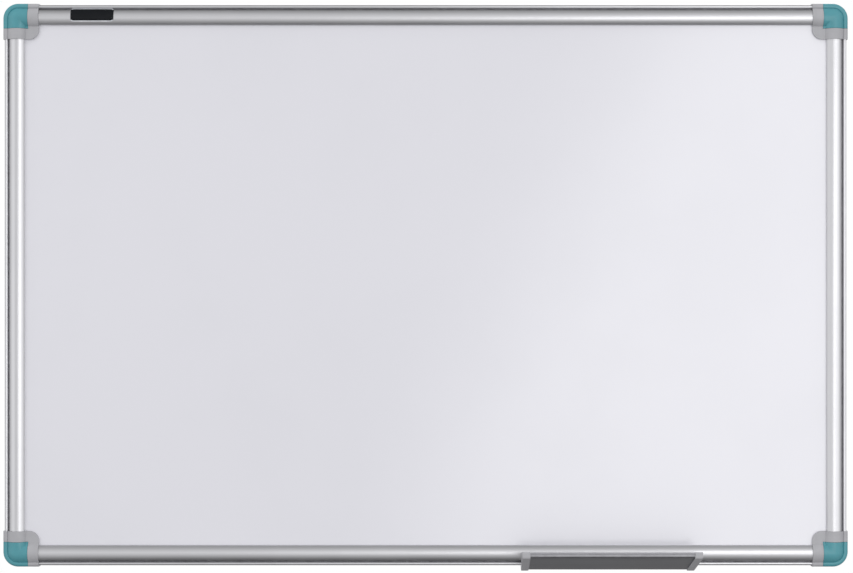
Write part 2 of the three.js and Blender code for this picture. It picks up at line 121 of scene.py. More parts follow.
class BoardSizes(bpy.types.PropertyGroup):
    """Overall size, clearances and the panel"""
    width: length("Width", "Over the corner mouldings", 900)
    height: length("Height", "Over the corner mouldings", 600)
    fit_gap: length("Fit gap", "Between parts that slide or seat on each other", 0.3)
    screw_play: length("Screw play", "Round a screw's shank and under its head", 0.15)
    panel_thickness: length("Panel thickness", "Writing sheet, core and backing sheet", 9.6)
    slot_play: length("Slot play", "Above and below the panel in the rail's slot", 0.2)
    panel_setback: length("Panel setback", "From the rail's web to the panel's edge", 0.9)


class RailSizes(bpy.types.PropertyGroup):
    """Section of the aluminium rails"""
    wall: length("Wall", "Thickness of the webs and the flange", 1.2)
    chamber: length("Chamber", "Width of the box chamber that takes the tenon", 4.8)
    flange: length("Flange", "Width of the flange behind the panel", 16)
    bead: length("Bead radius", "Bead along the outer edge", 1.8)
    bead_rise: length("Bead rise", "Centre of the bead above the slot's front wall", 0.2)
    crown: length("Crown radius", "Round front of the rail", 10.5)
    crown_inset: length("Crown inset", "Centre of the crown from the rail's outer edge", 13.05)
    crown_sink: length("Crown sink", "Centre of the crown below the slot's front wall", 4.7)
    crown_reach: length("Crown reach", "From that centre to the drop on the inner side", 8.3)
    crown_wall: length("Crown wall", "Thickness of the round front", 1.1)
    lip: length("Lip", "Slot's front wall, under the crown", 1.2)
    groove_drop: length("Groove drop", "Mouth of the groove below the bead's top", 1)
    groove_depth: length("Groove depth", "Depth of the groove between bead and crown", 1.5)


class CornerSizes(bpy.types.PropertyGroup):
    """Corner mouldings with their screw pockets"""
    arm: length("Arm", "Length of each arm along the frame", 38)
    outer_radius: length("Outer radius", "Outer corner, seen from the front", 16)
    inner_radius: length("Inner radius", "Corner of the plate over the board", 10.5)
    back_plate: length("Back plate", "Holds the rails off the wall", 2)
    skin: length("Skin", "Wall over the rails", 1.2)
    plate: length("Plate", "Thickness over the board", 2.2)
    rail_start: length("Rail start", "Sawn end of a rail from the outer corner", 28)
    end_wall: length("End wall", "Wall that a rail's end butts against", 2.8)
    tenon: length("Tenon", "Reach into the rail's box chamber", 28)
    tenon_root: length("Tenon root", "Tenon carried on into the pocket", 4)
    tenon_taper: length("Tenon taper", "Taper of the tenon's tip", 1.2)
    groove_drop: length("Groove drop", "Mouth of the moulded groove below the bead", 0.25)
    groove_depth: length("Groove depth", "Depth of the moulded groove", 0.65)
    bridge: length("Bridge", "Flat over the groove on hidden faces", 0.6)
    pocket_wall: length("Pocket wall", "Wall round the screw pocket", 1.6)
    pocket_floor: length("Pocket floor", "Floor over the board's corner", 1.5)
    boss: length("Boss radius", "Boss that the wall screw's head rests on", 6)
    boss_height: length("Boss height", "From the wall", 9)
    hole: length("Screw hole radius", "For the wall screw", 2.5)
    boss_flat: length("Boss flat", "From the boss's axis to the slanting wall", 5.2)
    slant: length("Slanting wall", "Wall along the board's clipped corner", 1.4)
    slant_play: length("Slant play", "From that wall to the board", 0.6)
    rib: length("Rib", "Width of the boss's ribs", 1.2)
    rib_height: length("Rib height", "From the wall", 7)
    edge: length("Edge rounding", "Rounded edges of the mouldings", 0.3)


class CoverSizes(bpy.types.PropertyGroup):
    """Covers over the wall screws"""
    size: length("Size", "Length of each side", 26.5)
    foot: length("Foot", "Lower edge of the side walls above the wall", 5)
    prong: length("Prong width", "Width of a prong", 6)
    prong_wall: length("Prong thickness", "Thickness of a prong", 1.2)
    prong_clear: length("Prong clearance", "From a long prong to the tenon's root", 0.6)
    inner_foot: length("Inner foot", "Short prongs above the pocket's floor", 0.6)
    outer_foot: length("Outer foot", "Long prongs above the wall", 8)
    edge: length("Edge rounding", "Rounded edges of a cover", 0.35)


class ScrewSizes(bpy.types.PropertyGroup):
    """Frame screws behind the rails"""
    inset: length("Inset", "From the outer corner, along the rail", 44)
    shank: length("Shank radius", "Radius of the shank", 1)
    reach: length("Reach", "From the rail's back to the tip", 7.4)
    head: length("Head radius", "Radius of the pan head", 2.8)
    head_height: length("Head height", "Height of the pan head", 1.1)
    hole: length("Hole radius", "Hole through the flange", 1.4)
    pilot: length("Pilot", "Pilot hole past the end of the screw", 0.5)
    slot: length("Cross slot", "Width of the cross recess", 0.6)


class TraySizes(bpy.types.PropertyGroup):
    """Pen tray and its end caps"""
    centre: length("Centre", "Middle of the tray from the middle of the board", 195.2)
    size: length("Length", "Over the end caps, along the front", 188.3)
    reach: length("Reach", "Front of the lip from the wall", 58)
    slope: angle("Slope", "Slope of the tray's floor", 20.2)
    wall: length("Wall", "Thickness of the bent strip", 1.3)
    hook: length("Hook", "Reach of the hook behind the rail", 9)
    rear_edge: length("Rear edge", "Top of the rear wall, up from the rail's outer edge", 13)
    lip_edge: length("Lip edge", "Top of the front lip, up from the rail's outer edge", 19.1)
    rim: length("Rim", "Radius of the bead along both long edges", 1)
    bend: length("Bend", "Inner radius where the floor turns up into the lip", 0.8)
    cap: length("Cap width", "Width of an end cap", 8)
    cap_plate: length("Cap plate", "Closed end of a cap", 2.2)
    cap_taper: length("Cap taper", "Lean of a cap toward its lower edge", 1.3)
    cap_rim: length("Cap rim", "Cap proud of the aluminium", 1.3)
    cap_foot: length("Cap foot", "Rear end of a cap behind the rail's back", 1.6)
    cap_root: length("Cap root", "Where its rear edge has come up inside the rail", 2.4)
    cap_nose: length("Cap nose", "Rounding of a cap's front edges", 1.5)
    cap_heel: length("Cap heel", "Rounding of its lower corners", 1.2)
    cap_edge: length("Cap edge", "Rounded edges of a cap", 0.4)


class LabelSizes(bpy.types.PropertyGroup):
    """Bare plate on the top rail"""
    centre: length("Centre", "From the middle of the board, to the left", 354.8)
    width: length("Width", "Along the rail", 45.8)
    upper: length("Upper edge", "From the rail's outer edge", 4.3)
    lower: length("Lower edge", "From the rail's outer edge", 17.8)
    radius: length("Corner radius", "Round corners", 3)
    thickness: length("Thickness", "Of the plate", 0.5)
    bond: length("Bond", "Adhesive under the plate", 0.1)
    line: length("Line", "Width of the pale line round the plate", 0.95)
    line_inset: length("Line inset", "From the plate's edge to that line", 0.05)


class BoardColours(bpy.types.PropertyGroup):
    """Colours of the materials and the light"""
    enamel: colour("Enamel", "Writing face", 0.825, 0.822, 0.875)
    enamel_shade: colour("Enamel shade", "Faint cloud in the enamel", 0.81, 0.808, 0.86)
    aluminium: colour("Aluminium", "Anodised rails", 0.79, 0.79, 0.81)
    # Painted shade: the tray's aluminium is the rails' made darker, for the shade on its underside
    # and lip
    tray_aluminium: colour("Tray aluminium", "Anodised pen tray", 0.62, 0.62, 0.65)
    grey_plastic: colour("Grey plastic", "Corner mouldings and tray caps", 0.455, 0.455, 0.475)
    cover_plastic: colour("Cover plastic", "Corner covers", 0.09, 0.335, 0.385)
    label: colour("Label", "Bare plate", 0.006, 0.007, 0.009)
    label_line: colour("Label line", "Line round the plate", 0.78, 0.80, 0.84)
    sheet: colour("Backing sheet", "Zinc-coated sheet", 0.62, 0.63, 0.64)
    fibre: colour("Fibre", "Core board", 0.30, 0.20, 0.11)
    zinc: colour("Zinc", "Frame screws", 0.62, 0.62, 0.6)
    floor: colour("Floor", "Pale floor", 0.80, 0.80, 0.80)
    ambient: share("Ambient", "Level of the light from all round", 0.92)


def board_sizes(context):
    """All lengths in millimetres, with the ones that follow from them."""
    sizes = SimpleNamespace(slope=context.scene.tray_sizes.slope)
    for group in ("board", "rail", "corner", "cover", "screw", "tray", "label"):
        holder = getattr(context.scene, f"{group}_sizes")
        keys = [key for key in holder.__annotations__ if key != "slope"]
        lengths = {key: getattr(holder, key) / MM for key in keys}
        setattr(sizes, group, SimpleNamespace(**lengths))
    board, rail, corner, label = sizes.board, sizes.rail, sizes.corner, sizes.label

    sizes.proud = board.fit_gap + corner.skin
    sizes.rail_back = corner.back_plate + board.fit_gap
    sizes.slot_top = rail.wall + board.panel_thickness + 2 * board.slot_play
    sizes.bead_centre = Vector((rail.bead, sizes.slot_top + rail.bead_rise))
    sizes.crown_centre = Vector((rail.crown_inset, sizes.slot_top - rail.crown_sink))
    sizes.crown_top = sizes.crown_centre.y + rail.crown
    sizes.bead_top = sizes.bead_centre.y + rail.bead
    sizes.web_outer = rail.wall + rail.chamber
    sizes.web_inner = sizes.web_outer + rail.wall
    sizes.chamber_top = sizes.bead_top - rail.groove_drop - rail.groove_depth - rail.wall
    sizes.panel_inset = sizes.proud + sizes.web_inner + board.panel_setback
    sizes.panel_back = sizes.rail_back + rail.wall + board.slot_play
    sizes.panel_front = sizes.panel_back + board.panel_thickness
    sizes.plate_under = sizes.panel_front + board.fit_gap
    sizes.plate_top = sizes.plate_under + corner.plate
    sizes.screw_line = rail.wall + rail.chamber / 2
    sizes.pocket_end = corner.rail_start - board.fit_gap - corner.end_wall
    sizes.over = sizes.plate_top + sizes.crown_top
    sizes.label_start = math.acos((label.upper - rail.crown_inset) / rail.crown)
    label_end = math.acos((label.lower - rail.crown_inset) / rail.crown)
    sizes.label_depth = (sizes.label_start - label_end) * rail.crown
    return sizes


# Outlines and meshes, in millimetres

def arc(centre, radius, start, end, steps):
    turns = [start + (end - start) * i / steps for i in range(steps + 1)]
    return [(centre[0] + radius * math.cos(t), centre[1] + radius * math.sin(t)) for t in turns]


def circle(x, y, radius, sides=ROD_SIDES):
    return arc((x, y), radius, 0, 2 * math.pi * (1 - 1 / sides), sides - 1)


def rectangle(x0, y0, x1, y1):
    return [(x0, y0), (x1, y0), (x1, y1), (x0, y1)]


def rounded(entries, steps=ROUND_STEPS):
    """Closed outline with round corners; each entry is a corner and its radius."""
    outline = []
    for i, (corner, radius) in enumerate(entries):
        corner = Vector(corner)
        if radius == 0:
            outline.append(tuple(corner))
            continue
        to_last = (Vector(entries[i - 1][0]) - corner).normalized()
        to_next = (Vector(entries[(i + 1) % len(entries)][0]) - corner).normalized()
        half = to_last.angle(to_next) / 2
        centre = corner + (to_last + to_next).normalized() * (radius / math.sin(half))
        first = corner + to_last * (radius / math.tan(half)) - centre
        last = corner + to_next * (radius / math.tan(half)) - centre
        for step in range(steps + 1):
            spoke = first.slerp(last, step / steps).normalized() * radius
            outline.append(tuple(centre + spoke))
    return outline


def strip(line, thickness):
    """Outline of a sheet bent along a line of points."""
    sides = [[], []]
    points = [Vector(p) for p in line]
    for i, p in enumerate(points):
        before = (p - points[max(i - 1, 0)]).normalized()
        after = (points[min(i + 1, len(points) - 1)] - p).normalized()
        heading = (before + after).normalized()
        straight = before if before.length > 0 else after
        reach = thickness / 2 / heading.dot(straight)
        sides[0].append((p.x - heading.y * reach, p.y + heading.x * reach))
        sides[1].insert(0, (p.x + heading.y * reach, p.y - heading.x * reach))
    return sides[0] + sides[1]


def split_at(outline, distance):
    """Adds a point wherever a closed outline crosses a distance."""
    split = []
    for i, (x, y) in enumerate(outline):
        next_x, next_y = outline[(i + 1) % len(outline)]
        split.append((x, y))
        if (x - distance) * (next_x - distance) < 0:
            part = (distance - x) / (next_x - x)
            split.append((distance, y + (next_y - y) * part))
    return split


def closed_mesh(vertices, faces):
    """Mesh with shared points, no collapsed faces, and its faces pointing out."""
    mesh = bpy.data.meshes.new("form")
    mesh.from_pydata(vertices, [], faces)
    work = bmesh.new()
    work.from_mesh(mesh)
    bmesh.ops.remove_doubles(work, verts=work.verts, dist=MERGE)
    bmesh.ops.dissolve_degenerate(work, edges=work.edges, dist=MERGE)
    bmesh.ops.recalc_face_normals(work, faces=work.faces)
    work.to_mesh(mesh)
    work.free()
    return mesh


def prism(outline, low, high, holes=()):
    loops = [outline, *holes]
    flat = [p for loop in loops for p in loop]
    count = len(flat)
    vertices = [(x, y, low) for x, y in flat] + [(x, y, high) for x, y in flat]
    faces = []
    first = 0
    for loop in loops:
        for i in range(len(loop)):
            a, b = first + i, first + (i + 1) % len(loop)
            faces.append((a, b, b + count, a + count))
        first += len(loop)
    ends = tessellate_polygon([[Vector((x, y, 0)) for x, y in loop] for loop in loops])
    faces += [tuple(reversed(face)) for face in ends]
    faces += [tuple(i + count for i in face) for face in ends]
    return closed_mesh(vertices, faces)


def lathe(profile, sides):
    """Turns a profile of (radius, height) that starts and ends on the axis."""
    vertices, faces = [], []
    size = len(profile)
    for side in range(sides):
        turn = 2 * math.pi * side / sides
        vertices += [(r * math.cos(turn), r * math.sin(turn), z) for r, z in profile]
        here, there = side * size, (side + 1) % sides * size
        faces += [(here + i, here + i + 1, there + i + 1, there + i) for i in range(size - 1)]
    return closed_mesh(vertices, faces)


def turned(mesh, x_axis, y_axis, z_axis):
    axes = Matrix((x_axis, y_axis, z_axis)).transposed()
    mesh.transform(axes.to_4x4())
    return mesh


def moved(mesh, x, y, z):
    mesh.transform(Matrix.Translation((x, y, z)))
    return mesh


def combined(mesh, other, operation):
    """Joins, cuts or intersects two closed meshes."""
    first = bpy.data.objects.new("first", mesh)
    second = bpy.data.objects.new("second", other)
    for piece in (first, second):
        bpy.context.scene.collection.objects.link(piece)
    modifier = first.modifiers.new("combine", 'BOOLEAN')
    modifier.operation = operation
    modifier.solver = 'MANIFOLD'
    modifier.object = second
    view = bpy.context.evaluated_depsgraph_get()
    result = bpy.data.meshes.new_from_object(first.evaluated_get(view))
    for piece in (first, second):
        bpy.data.objects.remove(piece)
    if not result.polygons:
        raise RuntimeError("Two forms left nothing when they were combined")
    return result


def added(mesh, *others):
    return reduce(lambda whole, other: combined(whole, other, 'UNION'), others, mesh)


def cut(mesh, *others):
    return reduce(lambda whole, other: combined(whole, other, 'DIFFERENCE'), others, mesh)


def common(mesh, other):
    return combined(mesh, other, 'INTERSECT')


# Forms that the rails, corners and covers share

def front_outline(sizes, offset, drop, depth, end):
    """Front of the rail, moved out by an offset: outer wall, bead, groove and crown, down to a
    level on the inner side."""
    bead = sizes.rail.bead + offset
    crown = sizes.rail.crown + offset
    mouth = sizes.bead_top + offset - drop
    bead_end = math.asin((mouth - sizes.bead_centre.y) / bead)
    crown_start = math.pi - math.asin((mouth - sizes.crown_centre.y) / crown)
    reach = sizes.rail.crown_reach + offset
    crown_end = max(math.asin((end - sizes.crown_centre.y) / crown), math.acos(reach / crown))
    bead_arc = arc(sizes.bead_centre, bead, math.pi, bead_end, BEAD_STEPS)
    crown_arc = arc(sizes.crown_centre, crown, crown_start, crown_end, CROWN_STEPS)
    middle = (bead_arc[-1][0] + crown_arc[0][0]) / 2
    bottom = [(middle, mouth - depth)] if depth > 0 else []
    wall = [(sizes.crown_centre.x + reach, end)] if crown_arc[-1][1] > end + MERGE else []
    return bead_arc + bottom + crown_arc + wall


def corner_front(sizes, offset, drop, depth, end):
    """The same front in corner space."""
    front = front_outline(sizes, offset, drop, depth, end - sizes.rail_back)
    return [(x + sizes.proud, y + sizes.rail_back) for x, y in front]


def moulded_front(sizes):
    """Front of a corner moulding, which its cover carries on."""
    corner = sizes.corner
    return corner_front(
        sizes, sizes.proud, corner.groove_drop, corner.groove_depth, sizes.plate_top)


def sweep_corner(sizes, section, arm):
    """Sweeps a section of (distance in from the outline, height) round the outer corner."""
    radius = sizes.corner.outer_radius
    ring = split_at(section, radius)
    rows = [[(arm, x, y) for x, y in ring]]
    for step in range(TURN_STEPS + 1):
        turn = step / TURN_STEPS * math.pi / 2
        row = []
        for x, y in ring:
            reach = max(radius - x, 0)
            mitre = max(radius, x)
            row.append((mitre - reach * math.sin(turn), mitre - reach * math.cos(turn), y))
        rows.append(row)
    rows.append([(x, arm, y) for x, y in ring])
    size = len(ring)
    faces = []
    for row in range(len(rows) - 1):
        here, there = row * size, (row + 1) * size
        for i in range(size):
            j = (i + 1) % size
            faces.append((here + i, there + i, there + j, here + j))
    last = (len(rows) - 1) * size
    for face in tessellate_polygon([[Vector((x, y, 0)) for x, y in ring]]):
        faces.append(face)
        faces.append(tuple(last + i for i in reversed(face)))
    return closed_mesh([p for row in rows for p in row], faces)


def arm_prism(section, start, end, arm):
    """Prism of a section along either arm of a corner."""
    if arm == 0:
        return turned(prism(section, start, end), (0, 1, 0), (0, 0, 1), (1, 0, 0))
    return turned(prism(section, -end, -start), (1, 0, 0), (0, 0, 1), (0, -1, 0))


def pocket_outline(sizes, inset, end, slant):
    """Square in from both outer sides, with the round corner, cut off by a slanting line."""
    radius = sizes.corner.outer_radius
    bend = arc((radius, radius), radius - inset, math.pi, math.pi * 1.5, TURN_STEPS)
    if slant < 2 * end:
        return [*bend, (end, inset), (end, slant - end), (slant - end, end), (inset, end)]
    return [*bend, (end, inset), (end, end), (inset, end)]


def slant_line(sizes, reach):
    return 2 * sizes.corner.outer_radius + reach * math.sqrt(2)


# Pieces, each in its own space and in millimetres

def rail_form(sizes, span):
    """One extrusion with its box chamber and crown chamber, and a screw hole near each end."""
    rail = sizes.rail
    half = span / 2 - sizes.corner.rail_start
    front = front_outline(sizes, 0, rail.groove_drop, rail.groove_depth, sizes.slot_top)
    outline = [
        (0, 0), (rail.flange, 0), (rail.flange, rail.wall), (sizes.web_inner, rail.wall),
        (sizes.web_inner, sizes.slot_top), *reversed(front),
    ]
    box_chamber = rectangle(rail.wall, rail.wall, sizes.web_outer, sizes.chamber_top)
    inner = rail.crown - rail.crown_wall
    edge = math.asin((sizes.slot_top + rail.lip - sizes.crown_centre.y) / inner)
    crown_chamber = arc(sizes.crown_centre, inner, edge, math.pi - edge, CROWN_STEPS)
    mesh = prism(outline, -half, half, [box_chamber, crown_chamber])
    for end in (-1, 1):
        hole = prism(circle(0, 0, sizes.screw.hole), -rail.wall, 2 * rail.wall)
        turned(hole, (1, 0, 0), (0, 0, -1), (0, 1, 0))
        mesh = cut(mesh, moved(hole, sizes.screw_line, 0, end * (span / 2 - sizes.screw.inset)))
    return mesh


def frame_screw_form(sizes):
    """Pan head with a cross recess, and a shank with a cut thread."""
    screw = sizes.screw
    head, shank = screw.head, screw.shank
    under = -sizes.board.screw_play
    top = under - screw.head_height
    dome = []
    for degrees in range(15, 91, 15):
        turn = math.radians(degrees)
        rise = PAN_RIM + (1 - PAN_RIM) * math.cos(turn)
        dome.append((head * math.sin(turn), under - screw.head_height * rise))
    thread = []
    height = THREAD_START
    while height < screw.reach - THREAD_END * shank:
        thread += [(shank * THREAD_ROOT, height),
                   (shank, height + THREAD_PITCH * THREAD_CREST),
                   (shank * THREAD_ROOT, height + THREAD_PITCH * THREAD_CREST * 2)]
        height += THREAD_PITCH
    mesh = lathe([
        (0, top), *dome, (head, under), (shank * NECK, under), *thread,
        (shank * TIP, screw.reach - shank * TIP_LENGTH), (0, screw.reach)], ROD_SIDES)
    half, arm = screw.slot / 2, head * RECESS_REACH
    levels = (top - BEYOND, top + screw.head_height * RECESS_DEPTH)
    return cut(mesh, added(prism(rectangle(-arm, -half, arm, half), *levels),
                           prism(rectangle(-half, -arm, half, arm), *levels)))


def corner_core(sizes, arm):
    """What stands under a cover: the same form, lower by the cover's wall and a gap."""
    foot = sizes.cover.foot - 2 * sizes.board.fit_gap
    level = sizes.plate_top - sizes.proud
    front = corner_front(sizes, 0, sizes.corner.bridge, 0, level)
    return [(sizes.proud, foot), (arm, foot), (arm, level), *reversed(front)]


def rail_room(sizes):
    """Room for a rail's end and the edge of the panel, through one arm."""
    gap = sizes.board.fit_gap
    far = sizes.corner.arm + BEYOND
    under = sizes.panel_back - gap
    front = corner_front(sizes, gap, sizes.corner.bridge, 0, sizes.plate_under)
    flange_end = sizes.proud + sizes.rail.flange + gap
    return [
        (sizes.corner.skin, sizes.corner.back_plate), (flange_end, sizes.corner.back_plate),
        (flange_end, under), (far, under), (far, sizes.plate_under), *reversed(front),
    ]


def screw_pocket(sizes):
    """Room that is cut for the wall screw, round its boss and the boss's ribs."""
    corner = sizes.corner
    middle = corner.outer_radius
    wall = sizes.proud + corner.pocket_wall
    end = sizes.pocket_end
    low = prism(pocket_outline(sizes, wall, end, slant_line(sizes, corner.boss_flat)),
                corner.back_plate, sizes.over)
    high = prism(pocket_outline(sizes, wall, end, 2 * end),
                 sizes.plate_under + corner.pocket_floor, sizes.over)
    half = corner.rib / 2
    boss = prism(circle(middle, middle, corner.boss), 0, corner.boss_height)
    ribs = [
        prism(rectangle(sizes.proud, middle - half, middle, middle + half), 0, corner.rib_height),
        prism(rectangle(middle - half, sizes.proud, middle + half, middle), 0, corner.rib_height),
    ]
    return cut(added(low, high), added(boss, *ribs))


def tenon(sizes, arm):
    """Tenon that fills the rail's box chamber, with a tapered tip and a pilot hole."""
    gap = sizes.board.fit_gap
    corner, screw = sizes.corner, sizes.screw
    u0 = sizes.proud + sizes.rail.wall + gap
    u1 = sizes.proud + sizes.web_outer - gap
    v0 = sizes.rail_back + sizes.rail.wall + gap
    v1 = sizes.rail_back + sizes.chamber_top - gap
    root = sizes.pocket_end - corner.tenon_root
    tip = corner.rail_start + corner.tenon
    taper = corner.tenon_taper
    plan = [(root, u0), (tip - 2 * taper, u0), (tip, u0 + taper), (tip, u1 - taper),
            (tip - 2 * taper, u1), (root, u1)]
    hole = (screw.inset, sizes.proud + sizes.screw_line)
    if arm == 1:
        plan = [(y, x) for x, y in reversed(plan)]
        hole = hole[::-1]
    end = sizes.rail_back + screw.reach + screw.pilot
    pilot = prism(circle(*hole, screw.shank + sizes.board.screw_play), 0, end)
    return cut(prism(plan, v0, v1), pilot)


def corner_form(sizes):
    """Corner moulding: the rail's own form swept round the corner, over pocket and tenons."""
    corner, gap = sizes.corner, sizes.board.fit_gap
    arm, inner = corner.arm, corner.inner_radius
    far = arm + BEYOND
    recess = sizes.cover.size + gap
    outside = [(0, 0), (arm, 0), (arm, sizes.plate_top), *reversed(moulded_front(sizes))]
    mesh = sweep_corner(sizes, outside, arm)
    middle = (corner.outer_radius, corner.outer_radius)
    plan = [
        *arc(middle, corner.outer_radius, math.pi, math.pi * 1.5, TURN_STEPS), (arm, 0),
        *arc((arm - inner, arm - inner), inner, 0, math.pi / 2, TURN_STEPS), (0, arm),
    ]
    mesh = common(mesh, prism(plan, -BEYOND, sizes.over))
    step = rectangle(-BEYOND, -BEYOND, recess, recess)
    mesh = cut(mesh, prism(step, sizes.cover.foot - gap, sizes.over))
    mesh = added(mesh, sweep_corner(sizes, corner_core(sizes, recess + gap), recess + gap))
    for side in (0, 1):
        mesh = cut(mesh, arm_prism(rail_room(sizes), corner.rail_start - gap, far, side))
    inset = sizes.panel_inset - corner.slant_play
    slant = slant_line(sizes, corner.boss_flat + corner.slant)
    panel_room = [(slant - inset, inset), (far, inset), (far, far), (inset, far),
                  (inset, slant - inset)]
    hole = prism(circle(*middle, corner.hole), -BEYOND, corner.boss_height + BEYOND)
    mesh = cut(mesh, prism(panel_room, sizes.panel_back - gap, sizes.plate_under),
               screw_pocket(sizes), hole)
    return added(mesh, tenon(sizes, 0), tenon(sizes, 1))


def cover_form(sizes):
    """Corner cover: a shell with the corner's own form, and four prongs."""
    corner, cover, gap = sizes.corner, sizes.cover, sizes.board.fit_gap
    level = sizes.plate_top - corner.skin
    inside = corner_front(sizes, gap, corner.bridge, 0, level)
    shell = [(corner.skin, cover.foot), *inside, (cover.size, level),
             (cover.size, sizes.plate_top), *reversed(moulded_front(sizes)), (0, cover.foot)]
    mesh = sweep_corner(sizes, shell, cover.size)

    root = sizes.plate_top - corner.skin / 2
    filled = corner_front(sizes, sizes.proud - corner.skin / 2, corner.bridge, 0, root)
    limit = [(corner.skin, 0), (cover.size, 0), (cover.size, root), *reversed(filled)]
    half = cover.prong / 2
    long_prong = (
        sizes.proud + corner.pocket_wall + gap,
        sizes.pocket_end - corner.tenon_root - half - cover.prong_clear, cover.outer_foot)
    short_prong = (
        sizes.pocket_end - gap - cover.prong_wall, sizes.proud + sizes.rail.crown_inset,
        sizes.plate_under + corner.pocket_floor + cover.inner_foot)
    for start, middle, foot in (long_prong, short_prong):
        end = start + cover.prong_wall
        for plan in ((start, middle - half, end, middle + half),
                     (middle - half, start, middle + half, end)):
            prong = prism(rectangle(*plan), foot, sizes.over)
            mesh = added(mesh, common(prong, sweep_corner(sizes, limit, cover.size)))
    return mesh


def tray_lines(sizes):
    """Centre lines of the tray's section, with its two rims."""
    tray, gap = sizes.tray, sizes.board.fit_gap
    along = Vector((math.sin(sizes.slope), math.cos(sizes.slope)))
    below = Vector((-math.cos(sizes.slope), math.sin(sizes.slope)))
    start = sizes.bead_centre + below * (sizes.rail.bead + gap + tray.wall / 2)

    def floor_at(v):
        return start + along * ((v - start.y) / along.y)

    hook = -gap - tray.wall / 2
    rear = floor_at(sizes.crown_top + gap + tray.rim)
    front = floor_at(tray.reach - sizes.rail_back - tray.rim)
    rear_rim = Vector((tray.rear_edge - tray.rim, rear.y))
    lip_rim = Vector((tray.lip_edge - tray.rim, front.y))
    bend = tray.bend + tray.wall / 2
    turn = rounded([(front, bend), (lip_rim, 0), (rear, 0)])[:ROUND_STEPS + 1]
    return SimpleNamespace(
        below=below, floor_at=floor_at, front=front, rear=rear, rims=[lip_rim, rear_rim],
        strips=[[Vector((tray.hook, hook)), floor_at(hook), *turn, lip_rim],
                [rear, rear_rim]])


def tray_form(sizes):
    """Bent strip that hooks behind the rail, with a rear wall and a bead on both long edges."""
    tray = sizes.tray
    lines = tray_lines(sizes)
    half = tray.size / 2 - tray.cap_taper - tray.cap_plate - sizes.board.fit_gap
    forms = [prism(strip(line, tray.wall), -half, half) for line in lines.strips]
    forms += [prism(circle(*rim, tray.rim), -half, half) for rim in lines.rims]
    return added(*forms)


def cap_form(sizes, side):
    """Tray end cap: a leaning plate that wraps the end of the aluminium."""
    tray, gap = sizes.tray, sizes.board.fit_gap
    lines = tray_lines(sizes)
    half = tray.size / 2

    def span(start, end):
        return (start, end) if side > 0 else (-end, -start)

    under = lines.below * (tray.wall / 2 + tray.cap_rim)
    rear_foot = lines.floor_at(-tray.cap_foot) + under
    front_foot = lines.floor_at(tray.reach - sizes.rail_back) + under
    front_top = Vector((tray.lip_edge + tray.cap_rim, tray.reach - sizes.rail_back + tray.cap_rim))
    rear_top = tray.rear_edge + tray.cap_rim / 2
    outline = rounded([
        (rear_foot, 0), ((-2 * gap, -tray.cap_foot), 0), ((gap, tray.cap_root), 0),
        ((rear_top, sizes.crown_centre.y), 0), ((rear_top, sizes.crown_top), 0),
        (front_top, tray.cap_nose), ((front_foot.x + tray.cap_rim, front_top.y), tray.cap_rim),
        (front_foot, 0),
    ])
    mesh = prism(outline, *span(half - tray.cap - tray.cap_taper, half))
    front = front_outline(sizes, gap, sizes.corner.bridge, 0, sizes.slot_top)
    rail_side = [(-gap, -gap), (front[-1][0], -gap), *reversed(front)]
    mesh = cut(mesh, prism(rail_side, *span(0, half + BEYOND)))

    inner = half - tray.cap_taper - tray.cap_plate
    over = front_top.x + BEYOND
    trough = [lines.rear, lines.front, (over, lines.front.y), (over, lines.rear.y)]
    room = [prism(strip(line, tray.wall + 2 * gap), *span(0, inner)) for line in lines.strips]
    room += [prism(circle(*rim, tray.rim + gap), *span(0, inner)) for rim in lines.rims]
    room.append(prism([tuple(p) for p in trough], *span(0, inner)))
    mesh = cut(mesh, *room)

    def lean(u):
        return tray.cap_taper * (front_top.x - u) / (front_top.x - rear_foot.x)

    low = rear_foot.x
    band = rounded([
        ((side * (half - tray.cap - lean(low)), low), tray.cap_heel),
        ((side * (half - lean(low)), low), tray.cap_heel),
        ((side * (half - lean(over)), over), 0),
        ((side * (half - tray.cap - lean(over)), over), 0),
    ])
    limit = turned(prism(band, -tray.reach, 2 * tray.reach), (0, 0, 1), (1, 0, 0), (0, 1, 0))
    return common(mesh, limit)


def label_row(sizes, across, height):
    """Point on the crown's front: a distance across the plate, and a height above the crown."""
    radius = sizes.rail.crown
    turn = sizes.label_start - across / radius
    reach = radius + height
    return (sizes.crown_centre.x + reach * math.cos(turn),
            sizes.crown_centre.y + reach * math.sin(turn))


